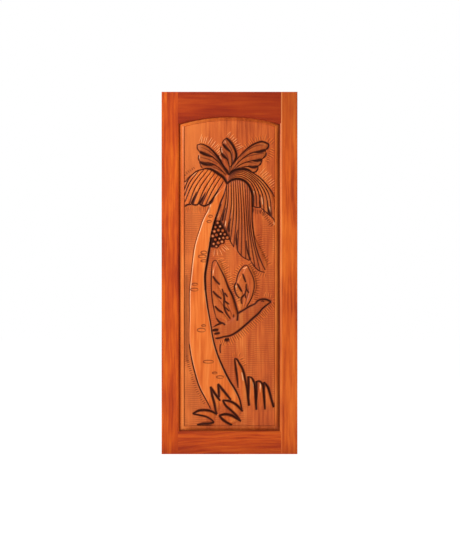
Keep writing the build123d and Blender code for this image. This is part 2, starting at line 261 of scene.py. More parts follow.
# %% Grain
def grain_of(finish, grain, shift, waviness):
    """Figure, finger-wide streaks, fine streaks and pores of a board whose grain runs along that axis."""
    x, y, z = finish.parts()
    along, across = (z, x) if grain == "Z" else (x, z)
    across = across + shift
    along = along + shift * 3
    wander = (finish.noise(finish.vector(across * 5, y * 5, along * 2.2)) - 0.5) * waviness
    zones = finish.noise(finish.vector(across * 9, y * 9, along * 3.4))
    broad, middle, fine, pores = [  # streaks about so many metres wide, so many times as long, and their detail
        finish.noise(finish.vector((across + wander) / width, y / width, along / (width * stretch)), detail)
        for width, stretch, detail in [(0.045, 10, 2), (0.013, 20, 3), (0.0035, 30, 2), (0.0009, 28, 1)]
    ]
    figure = (zones - 0.5) * 1.1 + (broad - 0.5) * 0.8 + (middle - 0.5) * 1.2 + (fine - 0.5) * 0.6
    return figure, middle, fine, pores.step(0.36, 0.24)


# %% The wood finish
coat_share = 0.12
coat_roughness = 0.25
sheen = 0.14  # of the wood under the thin coat of lacquer
pore_brown, dusk_red, glaze_and_shade_brown, arris_highlight_pale = (84, 26, 10), (132, 34, 12), (70, 24, 8), (246, 158, 98)


def finish_wood(name, grain, colours, shift, waviness=0.03, glaze_and_shade_by_place=None, lit_arris=None):
    """Stained and lacquered board: colours run from the darkest streak to the lightest."""
    finish = Finish(bpy.data.materials.new(name))
    figure, middle, fine, pore = grain_of(finish, grain, shift, waviness)
    share = 0.8 / (len(colours) - 1)
    colour = finish.ramp(figure + 0.5, *[(0.1 + share * index, shade) for index, shade in enumerate(colours)])
    colour = finish.mix(pore * 0.3, colour, pore_brown)
    roughness = 0.46 + (middle - 0.5) * 0.12 + pore * 0.1
    if glaze_and_shade_by_place:
        x, y, z = finish.parts()
        # Painted shade: darker towards the floor, and towards the head, more on the lock side.
        dusk = z.step(0.09, -0.02) * 0.4 + z.step(1.6, 2.0) * x.step(-0.45, 0.4) * 0.42
        colour = finish.mix(dusk, colour, dusk_red)
        # Painted highlight on the lock stile's outer arris.
        if lit_arris:
            colour = finish.mix(lit_arris(x, z), colour, arris_highlight_pale)
        # Dark glaze with painted shade in the mouldings.
        stain = glaze_and_shade_by_place(x, z)
        colour = finish.mix(stain, colour, glaze_and_shade_brown)
        roughness = roughness + stain * 0.12
    return lacquered(finish, colour, roughness, fine * 0.5 - pore, 0.35, 0.0003)


def lacquered(finish, colour, roughness, height, strength, distance, coat=coat_share):
    """The shader of every wood here, with a bump of that height."""
    bump = finish.node("ShaderNodeBump", {}, {"Strength": strength, "Distance": distance, "Height": height})
    shader = finish.node(
        "ShaderNodeBsdfPrincipled", {},
        {
            "Base Color": colour, "Roughness": roughness, "Normal": bump, "Coat Weight": coat,
            "Coat Roughness": coat_roughness, "Specular IOR Level": sheen,
        },
    )
    return finish.surface(shader)


# %% [markdown]
# ## Dark glaze and painted shade in the mouldings
# After staining, the finisher rubs a dark glaze over the door and wipes it off. It stays against the panel and
# in the quirk beside the moulding. Painted shade is laid in the same places, more on one side than on another, as
# the light falls. Where that is follows from one number, the distance into the frame from the edge of the
# opening, which each member measures in its own way: a stile along X, the bottom rail along Z and the top rail
# along the radius of its arch. On the lock stile the outer arris of the moulding gets a painted highlight
# instead.

# %% Glaze and painted shade by the distance from the opening's edge
moulding_width = 10.0


def glaze_and_shade_at(inset, lip, quirk):
    """Glaze and painted shade against the panel and in the quirk at the moulding's outer edge, by so much each.
    """
    groove = (inset - moulding_width + 0.4).size().step(3.5, 0.4)
    return inset.step(5.0, 0.8) * lip + groove * quirk + inset.step(moulding_width + 3, 0) * 0.1


def hinge_glaze_and_shade(x, z):
    return glaze_and_shade_at(x.size() / MM - opening_half, 0.14, 0.16)


def lock_glaze_and_shade(x, z):
    return glaze_and_shade_at(x.size() / MM - opening_half, 0.7, 0.04)


def bottom_glaze_and_shade(x, z):
    # Painted shade on the bottom rail just below the opening.
    return glaze_and_shade_at(opening_foot - z / MM, 0.3, 0.1) + (opening_foot - z / MM).step(12, 6) * 0.16


def top_glaze_and_shade(x, z):
    radius = (x * x + (z - arch_centre * MM) ** 2) ** 0.5
    return glaze_and_shade_at(radius / MM - arch_radius, 0, 0.1)


def painted_arris_highlight(x, z):
    """Painted highlight on the moulding's outer arris, more of it higher up."""
    inset = x / MM - opening_half
    return inset.step(5, 10) * inset.step(18, 12) * (z.step(0.2, 1.5) * 0.36 + 0.14)


# %% Dress the frame members and the dowels
woods = {  # direction of the grain, shades, place in the noise, waviness, glaze with painted shade, and painted highlight on the arris
    "hinge_stile": ("Z", [(146, 42, 4), (178, 60, 7), (199, 78, 10), (216, 98, 16)], 0.31, 0.03, hinge_glaze_and_shade),
    "lock_stile": (
        "Z", [(164, 58, 14), (196, 80, 19), (214, 98, 26), (226, 115, 36)], 1.73, 0.03, lock_glaze_and_shade, painted_arris_highlight,
    ),
    "top_rail": ("X", [(142, 36, 2), (158, 46, 3), (171, 56, 5), (183, 68, 8)], 2.37, 0.03, top_glaze_and_shade),
    "bottom_rail": (
        "X", [(160, 50, 10), (190, 72, 15), (207, 88, 20), (220, 104, 28)], 3.19, 0.09, bottom_glaze_and_shade,
    ),
    "dowel": ("X", [(150, 104, 66), (178, 132, 90), (196, 152, 110), (206, 166, 126)], 4.4),
}
finishes = {name: finish_wood(f"{name}_finish", *wood) for name, wood in woods.items()}
for name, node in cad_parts.items():
    if name != "carved_panel":
        node.data.materials.clear()
        node.data.materials.append(finishes.get(name, finishes["dowel"]))
print("finishes:", ", ".join(finishes), "on", len(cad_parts) - 1, "solids")

# %% [markdown]
# ## The carver's board
# The carved field is a height above a flat ground at every point, and never folds under itself. Sculpting it by
# hand would be slow and hard to repeat. Instead the field is a board of evenly spaced points, and each gouge
# stroke or leaf is pressed into it as a cloud of samples. Four layers are kept: the rise of the figures, the
# depth of the cuts, how dark the glaze and painted shade lie, and how pale the wood is, painted highlights
# included.

# %% Lay out the board
board_pitch = 0.75
bevel_width = 16.0
border_width = 8.0
head_border_width = 1.0  # the flat band all but vanishes under the arch
line_width = 3.0  # of the incised line that runs round the field
border_inset = bevel_width + border_width
head_inset = bevel_width + head_border_width
field_inset = border_inset + line_width
drawn_half_width, drawn_foot, drawn_crown = 255.0, 161.0, 1876.0

board_left = field_inset - opening_half
board_foot = opening_foot + field_inset
board_columns = round(-2 * board_left / board_pitch) + 1
board_rows = round((opening_crown - head_inset - line_width - board_foot) / board_pitch) + 1
field_height = opening_crown - head_inset - opening_foot - border_inset
figure, cut, stain, bright = np.zeros((4, board_rows, board_columns), np.float32)
print(f"board of {board_columns} by {board_rows} points")

# %% [markdown]
# ## From the drawing to the board
# The picture is drawn as points on paper, with X across from the middle and Z up. A curve runs smoothly through
# them, so few points are needed. The drawing is fitted to the real field in one place, and the field may change.

# %% Fit the drawing to the field
sample_step = board_pitch / 2  # between the samples along a curve


def fitted(points):
    """Drawn points, fitted to the real field."""
    points = np.array(points, float)
    across = points[:, 0] * (opening_half - border_inset) / drawn_half_width
    share = (points[:, 1] - drawn_foot) / (drawn_crown - drawn_foot)
    return np.column_stack([across, opening_foot + border_inset + share * field_height])


def smooth(points, count=None):
    """Evenly spaced points along a smooth curve through drawn ones."""
    drawn = fitted(points)
    knots = np.concatenate([[0], np.cumsum(np.hypot(*np.diff(drawn, axis=0).T))])
    slopes = np.gradient(drawn, knots, axis=0)
    rough = np.linspace(0, knots[-1], 40 * len(drawn))
    span = np.clip(np.searchsorted(knots, rough, "right") - 1, 0, len(drawn) - 2)
    length = (knots[span + 1] - knots[span])[:, None]
    t = (rough - knots[span])[:, None] / length
    curve = (
        (1 + 2 * t) * (1 - t) ** 2 * drawn[span] + t * (1 - t) ** 2 * length * slopes[span]
        + t**2 * (3 - 2 * t) * drawn[span + 1] + t**2 * (t - 1) * length * slopes[span + 1]
    )
    run = np.concatenate([[0], np.cumsum(np.hypot(*np.diff(curve, axis=0).T))])
    if count is None:
        count = max(2, math.ceil(run[-1] / sample_step))
    even = np.linspace(0, run[-1], count + 1)
    return np.column_stack([np.interp(even, run, curve[:, axis]) for axis in (0, 1)])


drawn_corners = [(-drawn_half_width, drawn_foot), (drawn_half_width, drawn_crown)]
print("the field, in millimetres:", np.diff(fitted(drawn_corners), axis=0).round(1))


# %% Press samples into the board
def press(layer, x, z, amount):
    """Raises a layer to the amount at each sample's nearest point."""
    column = np.rint((x - board_left) / board_pitch).astype(int)
    row = np.rint((z - board_foot) / board_pitch).astype(int)
    inside = (column >= 0) & (column < board_columns) & (row >= 0) & (row < board_rows)
    places = row[inside] * board_columns + column[inside]
    np.maximum.at(layer.reshape(-1), places, np.broadcast_to(amount, x.shape)[inside].astype(np.float32))


print("points in a square centimetre:", round((10 / board_pitch) ** 2))

# %% [markdown]
# ## Two tools: a gouge and a leaf
# Nearly all of the carving comes from two tools. The gouge runs along a curve and takes out a V-shaped channel
# that may swell or taper, and the dark glaze that stays in it reaches a little past its edges. The leaf fills
# the space between two curves with a rounded body, which makes fronds, feathers, blades and the trunk alike.

# %% The gouge
THIN_ENDS = 0.3, 0.8, 1, 0.8, 0.3
RISING = 0.3, 0.5, 0.8, 1, 1, 0.8
FADING = 0.9, 1, 1, 0.7, 0.35
POINTED = 0.7, 1, 0.75, 0.2
WEDGE = 0.15, 0.55, 1, 1
ARCH = 0.8, 1, 1, 1, 0.8, 0.4
EVEN = 0.7, 1, 1, 0.7
channel_roundness = 1.4  # 1 is a V, 2 is rounder
glaze_reach = 2.0  # of the glaze, in half widths of the channel
full_glaze = 1.7  # how far in from there it is at its darkest


def gouge(points, width, shares=EVEN, depth=0.5, dark=0.92, light=0.0):
    """Cuts a channel along drawn points. Its depth is a share of its width, which the shares swell or taper."""
    centre = smooth(points)
    ahead = np.gradient(centre, axis=0)
    normal = np.column_stack([-ahead[:, 1], ahead[:, 0]]) / np.hypot(*ahead.T)[:, None]
    along = np.linspace(0, 1, len(centre))
    half = width / 2 * np.interp(along, np.linspace(0, 1, len(shares)), shares)
    lanes = math.ceil(2 * glaze_reach * width / board_pitch) + 1
    across = np.linspace(-glaze_reach, glaze_reach, lanes)[:, None]
    x = centre[:, 0] + across * half * normal[:, 0]
    z = centre[:, 1] + across * half * normal[:, 1]
    channel = np.clip(1 - np.abs(across) ** channel_roundness, 0, 1)
    press(cut, x, z, channel * half * 2 * depth)
    press(stain, x, z, np.clip((glaze_reach - np.abs(across)) / full_glaze, 0, 1) * dark)
    if light:
        press(bright, x, z, np.clip(1.6 * channel, 0, 1) * light)


def carve(strokes, **cutting):
    """Cuts strokes in one way, each with its points, its width and, where it isn't even, its shares."""
    for stroke in strokes:
        gouge(*stroke, **cutting)
    print("strokes:", len(strokes))


# %% The leaf
def leaf(edge_a, edge_b, rise, edge=0.15, roundness=3.0, ends=(0.4, 0.3), fade=5.0, shine=0.0, dull=0.0):
    """Raises a rounded body between two drawn edges that run the same way, from its root to its tip."""
    length = max(len(smooth(edge_a)), len(smooth(edge_b)))
    line_a = smooth(edge_a, count=length)
    line_b = smooth(edge_b, count=length)
    widest = np.hypot(*(line_b - line_a).T).max()
    share = np.linspace(0, 1, math.ceil(2 * widest / board_pitch) + 2)[:, None]
    x = line_a[:, 0] + (line_b[:, 0] - line_a[:, 0]) * share
    z = line_a[:, 1] + (line_b[:, 1] - line_a[:, 1]) * share
    along = np.linspace(0, 1, length + 1)
    swell = np.minimum(1, np.minimum(ends[0] + along * 5, ends[1] + (1 - along) * fade))
    body = edge + (1 - edge) * (1 - np.abs(2 * share - 1) ** roundness) ** 0.7
    press(figure, x, z, rise * body * swell)
    press(bright, x, z, shine * np.minimum(1, 1.6 * swell))
    press(stain, x, z, dull)


def fan(lines, rise=6.6, overhang=9.0, between=5.0, shine=0.1, dull=0.0, dark=0.74):
    """Leaves side by side: each runs on past the notches beside it and ends in a point."""
    for left, right in zip(lines, lines[1:]):
        ends = np.array([left[-1], right[-1]], float)
        before = np.array([left[-2], right[-2]], float)
        ahead = (ends - before).mean(axis=0)
        tip = ends.mean(axis=0) + ahead / np.hypot(*ahead) * overhang
        leaf([*left, tuple(tip)], [*right, tuple(tip)], rise, shine=shine, dull=dull)
    for line in lines[1:-1]:
        gouge(line, between, (0.4, 0.7, 1, 1), 0.35, dark)
    print("leaves:", len(lines) - 1)


# %% [markdown]
# ## The palm
# The trunk leans out of the grass and its six fronds spring from two small V cuts: three upright plumes, two
# arching fronds and a long one that hangs in front. Each frond is a fan of leaflets between drawn lines, and
# the carver has set it off with a deep channel on its shaded side.

# %% Trunk
trunk_left = [
    (-13, 1522), (-67, 1466), (-102, 1423), (-123, 1366), (-141, 1334), (-169, 1257), (-194, 1173),
    (-206, 1092), (-215, 1005), (-222, 942), (-224, 780), (-225, 620), (-213, 542), (-194, 461),
    (-169, 381), (-127, 300), (-106, 258),
]
trunk_right = [
    (-12, 1518), (-32, 1455), (-48, 1404), (-60, 1373), (-76, 1327), (-97, 1250), (-109, 1173),
    (-123, 1089), (-136, 1005), (-134, 924), (-122, 829), (-106, 738), (-94, 661), (-71, 574),
    (-36, 489), (3, 412), (34, 362), (58, 307), (70, 252),
]
leaf(trunk_left, trunk_right, rise=8.2, edge=0.1, roundness=12.0, ends=(0.3, 0.0), fade=14.0, shine=0.38)
print("highest point so far:", figure.max())

# %% Plumes
left_plume = [
    [(-4, 1574), (-38, 1628), (-78, 1690), (-124, 1728), (-172, 1743)],
    [(-12, 1572), (-52, 1630), (-98, 1672), (-165, 1697)],
    [(-20, 1568), (-56, 1606), (-98, 1632), (-167, 1640)],
    [(-30, 1562), (-62, 1585), (-100, 1602), (-150, 1608)],
]
middle_plume = [
    [(8, 1586), (32, 1638), (36, 1700), (-16, 1774)],
    [(5, 1586), (14, 1640), (4, 1700), (-36, 1744)],
    [(1, 1586), (-4, 1630), (-16, 1660), (-46, 1690)],
    [(-4, 1586), (-16, 1616), (-36, 1646), (-60, 1672)],
]
right_plume = [
    [(10, 1596), (50, 1664), (112, 1722), (166, 1748), (214, 1744)],
    [(15, 1596), (60, 1648), (120, 1690), (203, 1709)],
    [(20, 1596), (62, 1626), (116, 1646), (178, 1651)],
    [(26, 1597), (64, 1609), (110, 1617), (160, 1614)],
    [(34, 1596), (66, 1603), (104, 1602), (146, 1588)],
]
for plume in (left_plume, middle_plume, right_plume):
    fan(plume, dull=0.24)

# %% Arching fronds
left_frond = [
    [(-229, 1556), (-244, 1544), (-253, 1522)],
    [(-204, 1576), (-232, 1538), (-252, 1488)],
    [(-172, 1592), (-222, 1526), (-252, 1452)],
    [(-142, 1602), (-206, 1516), (-249, 1420)],
    [(-116, 1602), (-190, 1500), (-226, 1404)],
    [(-96, 1596), (-166, 1496), (-205, 1402)],
    [(-78, 1586), (-140, 1490), (-178, 1402)],
    [(-60, 1574), (-112, 1492), (-156, 1400)],
    [(-44, 1562), (-92, 1486), (-134, 1400)],
    [(-28, 1546), (-70, 1476), (-112, 1408)],
]
right_frond = [
    [(-10, 1536), (46, 1552), (104, 1522), (128, 1470), (133, 1400)],
    [(-9, 1542), (50, 1562), (114, 1532), (146, 1470), (153, 1394)],
    [(-8, 1548), (54, 1572), (124, 1538), (162, 1474), (173, 1386)],
    [(-7, 1554), (58, 1581), (134, 1542), (178, 1478), (195, 1354)],
    [(-6, 1560), (62, 1589), (143, 1547), (196, 1478), (218, 1350)],
    [(-5, 1566), (67, 1596), (152, 1552), (212, 1480), (238, 1326)],
    [(-3, 1572), (73, 1602), (162, 1558), (226, 1484), (253, 1410)],
]
fan(left_frond, shine=0.3, dull=0.04)
fan(right_frond, dull=0.13)

# %% The frond that hangs in front
front_frond = [
    [(-22, 1520), (-42, 1432), (-78, 1318)],
    [(-14, 1524), (-22, 1410), (-52, 1312)],
    [(-4, 1530), (-12, 1392), (-34, 1276)],
    [(10, 1536), (10, 1388), (-14, 1254)],
    [(22, 1541), (24, 1368), (6, 1204)],
    [(34, 1544), (40, 1350), (24, 1166)],
    [(46, 1545), (54, 1336), (45, 1140)],
    [(58, 1543), (70, 1316), (66, 1114)],
    [(72, 1540), (86, 1296), (92, 1100)],
    [(86, 1532), (100, 1280), (113, 1094)],
    [(100, 1520), (112, 1260), (142, 1058)],
    [(112, 1502), (122, 1248), (170, 1036)],
    [(122, 1482), (134, 1246), (193, 1032)],
]
fan(front_frond, shine=0.08, dull=0.15)

# %% Channels round the plumes
plume_cuts = [
    ([(-181, 1737), (-158, 1742), (-124, 1729), (-92, 1702), (-60, 1661), (-32, 1614), (-2, 1571)], 11, RISING),
    ([(-181, 1737), (-180, 1716), (-165, 1697)], 4),
    ([(-166, 1698), (-134, 1684), (-92, 1668)], 16, POINTED),
    ([(-172, 1681), (-174, 1662), (-166, 1640)], 4),
    ([(-168, 1640), (-126, 1627), (-80, 1625)], 16, POINTED),
    ([(-165, 1630), (-160, 1618), (-152, 1608)], 4),
    ([(-16, 1775), (3, 1756), (20, 1732), (35, 1700), (39, 1672), (27, 1644), (6, 1612)], 11, ARCH),
    ([(-16, 1776), (-32, 1763), (-42, 1744)], 4),
    ([(-37, 1742), (-20, 1722), (3, 1697)], 14, POINTED),
    ([(-48, 1728), (-50, 1708), (-45, 1690)], 4),
    ([(-44, 1688), (-28, 1670), (-8, 1655)], 15, POINTED),
    ([(-61, 1678), (-54, 1652), (-32, 1618), (-4, 1588)], 3.5),
    ([(38, 1652), (60, 1678), (94, 1711), (143, 1744), (182, 1756), (221, 1741)], 7.5, (0.3, 0.7, 1, 1, 1)),
    ([(221, 1741), (216, 1721), (205, 1711)], 7.5),
    ([(203, 1709), (170, 1699), (134, 1695)], 15, POINTED),
    ([(209, 1695), (203, 1676), (186, 1660)], 5),
    ([(184, 1656), (156, 1649), (124, 1648)], 15, POINTED),
    ([(180, 1650), (177, 1636), (164, 1620)], 5),
    ([(162, 1617), (132, 1612), (102, 1616)], 14, POINTED),
    ([(160, 1606), (150, 1588), (126, 1581)], 5),
]
carve(plume_cuts, depth=0.42)

# %% Channels round the other fronds
arch_cuts = [
    ([(-2, 1571), (17, 1588), (38, 1598), (73, 1602), (101, 1598), (125, 1583)], 13, ARCH),
    ([(120, 1586), (167, 1556), (192, 1532), (213, 1507), (234, 1479), (252, 1446)], 5),
    ([(-13, 1520), (-32, 1553), (-60, 1574), (-81, 1588), (-109, 1602), (-138, 1604)], 13, ARCH),
    ([(-130, 1604), (-158, 1598), (-187, 1588), (-208, 1570), (-229, 1553), (-250, 1528)], 5),
    ([(-13, 1520), (6, 1536), (36, 1546), (73, 1541), (94, 1528), (111, 1507), (122, 1483), (131, 1450),
      (131, 1390)], 11.5, (0.8, 1, 1, 1, 1, 1, 0.9)),
    ([(131, 1392), (127, 1320), (132, 1267), (139, 1215), (150, 1162), (164, 1117), (181, 1075),
      (200, 1036)], 5.5),
]
hanging_cuts = [
    ([(-250, 1392), (-236, 1401), (-214, 1403)], 7),
    ([(-211, 1404), (-190, 1400), (-172, 1405)], 6),
    ([(-169, 1405), (-141, 1395), (-113, 1406)], 7),
    ([(-110, 1406), (-100, 1426), (-81, 1455), (-62, 1486), (-34, 1532)], 7, (1, 1, 0.8, 0.4, 0.2)),
    ([(-185, 1474), (-197, 1440), (-211, 1407)], 11, WEDGE),
    ([(-134, 1471), (-150, 1438), (-169, 1407)], 12, WEDGE),
    ([(-80, 1456), (-94, 1430), (-112, 1407)], 12, WEDGE),
    ([(-15, 1518), (-32, 1455), (-50, 1413), (-62, 1370), (-79, 1317)], 7, (0.4, 0.7, 1, 1, 1)),
    ([(-20, 1385), (-32, 1352), (-40, 1312)], 9, WEDGE),
    ([(9, 1328), (-2, 1286), (-3, 1250)], 9, WEDGE),
    ([(45, 1262), (39, 1222), (40, 1176)], 8, WEDGE),
    ([(95, 1200), (99, 1152), (117, 1092)], 8, WEDGE),
    ([(-3, 1250), (2, 1206), (24, 1164)], 4.5),
    ([(40, 1176), (45, 1146), (69, 1113), (111, 1089)], 4.5),
    ([(117, 1090), (136, 1061), (166, 1032), (198, 1022)], 4.5),
    ([(173, 1458), (170, 1420), (174, 1386)], 9, WEDGE),
    ([(213, 1426), (216, 1385), (230, 1338)], 9, WEDGE),
    ([(133, 1394), (150, 1387), (172, 1386)], 5),
    ([(176, 1384), (200, 1364), (228, 1338)], 4),
    ([(230, 1338), (246, 1324), (254, 1300)], 4),
]
carve(arch_cuts + hanging_cuts, depth=0.42)

# %% Veins on the plumes
veins = [
    [(-158, 1724), (-122, 1708), (-84, 1676), (-48, 1628)], [(-162, 1668), (-112, 1654), (-67, 1630)],
    [(-104, 1618), (-62, 1600), (-20, 1574)], [(-12, 1748), (14, 1700), (18, 1650), (6, 1602)],
    [(-32, 1706), (-10, 1668), (2, 1612)], [(58, 1668), (100, 1706), (150, 1732), (192, 1738)],
    [(40, 1634), (90, 1668), (140, 1682), (194, 1690)], [(44, 1618), (90, 1638), (150, 1634)],
]
carve([(points, 3.2, THIN_ENDS) for points in veins], depth=0.4, dark=0.7)

# %% The trunk's edges and bark marks
gouge(trunk_right[2:10], 10, (0.6, 1, 1, 1, 1, 0.9))
gouge(trunk_right[9:], 8, (0.9, 0.7, 0.6, 0.8, 1, 1, 0.8))
gouge(trunk_left[2:12], 3.4, dark=0.45)
gouge(trunk_left[11:], 5.5)

bark_marks = [  # place, half length and half height of each eye-shaped mark
    (-105, 1337, 12, 6), (-113, 1307, 13, 6), (-143, 1134, 17, 8), (-152, 1112, 22, 8), (-142, 1087, 18, 6),
    (-194, 956, 17, 6), (-196, 926, 22, 8), (-144, 724, 12, 5), (-157, 699, 24, 10), (-117, 522, 30, 8),
    (-82, 459, 14, 5), (-52, 436, 21, 7),
]
turn = np.linspace(0.35, 2 * math.pi + 0.1, 11)
for x, z, half_length, half_height in bark_marks:
    loop = np.column_stack([x + half_length * np.cos(turn), z + half_height * np.sin(turn)])
    gouge(loop, 4.0, FADING, 0.35, 0.55)
print("bark marks:", len(bark_marks))

# %% [markdown]
# ## The nuts
# A cluster of round nuts hangs under the crown. On the real door they are beads left standing in a pocket that
# is dark with glaze. Drawing spheres would leave seams against the ground, so each nut is a dome on the board.
# Glaze and painted shade darken its flanks, its top is painted paler, and a painted highlight sits on its crown.

# %% Pocket and nuts
pocket = [
    ([(-66, 1312), (-74, 1262), (-90, 1200), (-98, 1162)], 26), ([(-58, 1312), (-52, 1262), (-48, 1184)], 34),
    ([(-52, 1300), (-30, 1250), (-10, 1214)], 26), ([(-80, 1240), (-72, 1200), (-76, 1166)], 34),
]
carve(pocket, depth=0.1)

nut_radius = 12.0
nut_height = 8.2
nut_places = [
    (-66, 1300), (-78, 1276), (-52, 1280), (-62, 1259), (-84, 1252), (-38, 1256), (-26, 1236), (-49, 1238),
    (-72, 1232), (-93, 1226), (-12, 1217), (-34, 1216), (-56, 1212), (-79, 1206), (-42, 1194), (-63, 1188),
    (-88, 1182), (-73, 1168),
]

board_x = board_left + board_pitch * np.arange(board_columns)
board_z = board_foot + board_pitch * np.arange(board_rows)
for number, (x, z) in enumerate(fitted(nut_places)):
    radius = nut_radius * (1 + 0.12 * math.sin(5.1 * number))
    near = np.hypot(board_x[None, :] - x, board_z[:, None] - z) / radius
    dome = np.sqrt(np.clip(1 - near**2, 0, 1))
    on = near < 1
    figure[on] = np.maximum(figure[on], nut_height * dome[on])
    cut[on] = 0
    # Glaze and painted shade on the flanks, painted paler towards the top.
    stain[on] = np.clip(0.92 - 1.8 * np.clip(dome[on] - 0.5, 0, 1), 0.14, 1)
    # A painted highlight on the crown.
    bright[on] = np.clip((dome[on] - 0.9) * 8, 0, 0.34 + 0.26 * math.sin(3.7 * number))
print("nuts:", len(nut_places))

# %% [markdown]
# ## The bird
# The bird flies to the right with both wings up. Each wing is a fan of broad feathers, the body is one smooth
# pillow from the tail to the beak, and short strokes mark the feathers' shafts.

# %% Wings, body and tail
left_wing = [
    [(44, 764), (0, 930), (-70, 1088)],
    [(24, 764), (-40, 900), (-98, 1000)],
    [(8, 764), (-44, 850), (-99, 916)],
    [(-6, 758), (-46, 806), (-86, 832)],
    [(-16, 748), (-44, 764), (-74, 764)],
]
right_wing = [
    [(96, 830), (152, 950), (98, 1062)],
    [(84, 826), (106, 930), (74, 1016)],
    [(72, 820), (74, 908), (44, 962)],
    [(58, 812), (34, 872), (30, 930)],
]
back_line = [
    (-88, 716), (-40, 738), (14, 762), (52, 797), (115, 833), (160, 864), (178, 871), (203, 871), (234, 858),
]
belly_line = [
    (-70, 652), (-32, 661), (20, 675), (66, 707), (100, 735), (164, 794), (185, 819), (206, 838), (233, 857),
]
tail = [
    [(-30, 734), (-64, 728), (-92, 716)],
    [(-30, 712), (-62, 706), (-82, 698)],
    [(-28, 690), (-58, 682), (-80, 678)],
    [(-24, 668), (-50, 660), (-72, 654)],
]
for lines in (left_wing, right_wing, tail):
    fan(lines, rise=6.0, overhang=6.0, between=1.5, dull=0.13, dark=0.35)
leaf(back_line, belly_line, rise=7.0, roundness=2.6, dull=0.16)

# %% Strokes on the wings
wing_cuts = [
    ([(44, 752), (46, 794), (38, 826), (17, 893), (-1, 928), (-32, 1005), (-53, 1047), (-72, 1084)], 10, FADING),
    ([(-72, 1086), (-81, 1091), (-92, 1082), (-99, 1047), (-102, 994), (-101, 920), (-92, 843), (-74, 763)], 5.5),
    ([(-92, 1001), (-76, 976), (-55, 954)], 10),
    ([(-92, 917), (-70, 893), (-45, 875)], 10),
    ([(-81, 833), (-60, 810), (-36, 796)], 10),
    ([(-41, 930), (-30, 889), (-30, 836), (-20, 798), (4, 763)], 9),
    ([(-27, 908), (-11, 885)], 7.5), ([(-29, 864), (-2, 843)], 7.5), ([(-26, 828), (-1, 805)], 7.5),
    ([(24, 787), (24, 770)], 6),
    ([(83, 1061), (69, 1047), (55, 1026), (45, 1000), (38, 970)], 6),
    ([(38, 968), (29, 950), (31, 918), (40, 896), (56, 878)], 7.5),
    ([(83, 1061), (97, 1062), (111, 1040), (125, 1012), (137, 977), (139, 942), (132, 906), (111, 854),
      (96, 830)], 5.5),
    ([(74, 1014), (82, 992), (91, 968)], 9), ([(44, 960), (56, 938), (70, 915)], 10),
    ([(94, 958), (95, 930), (108, 908)], 7.5), ([(94, 930), (86, 900), (68, 880), (66, 868), (69, 846)], 8),
    ([(87, 900), (92, 878)], 7.5),
]
carve(wing_cuts, depth=0.35, dark=0.8)

# %% Strokes on the body and the tail
body_cuts = [
    ([(46, 792), (80, 812), (115, 833), (143, 847), (160, 864), (178, 871), (203, 871), (234, 858)], 10,
     (1, 0.8, 0.8, 0.8, 1, 1)),
    ([(234, 857), (210, 840), (185, 819), (164, 794), (129, 763), (94, 731), (66, 707), (38, 686), (3, 668),
      (-32, 661), (-67, 651)], 10),
    ([(-24, 728), (-39, 738), (-67, 729), (-93, 714)], 9, FADING),
    ([(-72, 764), (-57, 745), (-34, 736)], 9),
    ([(-94, 698), (-62, 700)], 14.5), ([(-84, 677), (-54, 683)], 11.5), ([(-78, 652), (-50, 655)], 9),
    ([(-26, 648), (-14, 643), (-2, 650)], 17),
    ([(178, 858), (186, 862), (194, 857)], 5),
    ([(-50, 620), (-53, 596), (-50, 570)], 6.5),
]
carve(body_cuts, depth=0.35, dark=0.8)

# %% The dark band of wood to the left of the trunk
gouge([(-240, 1010), (-243, 760), (-238, 520)], 26, depth=0, dark=0.3)
print("stained share of the board so far:", round(float((stain > 0.2).mean()), 2))

# %% [markdown]
# ## The grass
# Two tufts stand at the foot of the trunk. The left one is a sheaf of pointed blades that cross the trunk's
# foot, drawn with heavy dark strokes. The right one is four tall blades with dark wedges between them.

# %% Blades
tuft = [
    ([(-106, 379), (-96, 330), (-74, 228)], [(-106, 379), (-78, 344), (-50, 262)]),
    ([(-64, 395), (-58, 330), (-48, 262)], [(-64, 395), (-20, 344), (12, 296)]),
    ([(-38, 307), (14, 298), (72, 246)], [(-38, 305), (0, 258), (50, 208)]),
    ([(-58, 222), (0, 224), (60, 190)], [(-58, 220), (-30, 190), (14, 168)]),
    ([(-205, 231), (-140, 251), (-72, 226)], [(-205, 229), (-140, 216), (-86, 184)]),
    ([(-184, 167), (-140, 182), (-88, 186)], [(-184, 166), (-130, 165), (-84, 168)]),
]
stand = [
    ([(34, 540), (50, 430), (74, 246)], [(34, 540), (84, 446), (110, 262)]),
    ([(116, 441), (112, 360), (111, 250)], [(116, 441), (144, 372), (152, 236)]),
    ([(174, 408), (158, 330), (153, 240)], [(174, 408), (190, 350), (199, 240)]),
    ([(200, 406), (200, 330), (200, 240)], [(200, 406), (232, 336), (250, 250)]),
]
for blades, rise, fade in ((tuft, highest_rise, 5.0), (stand, 6.0, 2.2)):
    for left, right in blades:
        leaf(left, right, rise, edge=0.3, roundness=2.2, ends=(0.2, 0.0), fade=fade, shine=0.2, dull=0.09)
print("blades:", len(tuft + stand))

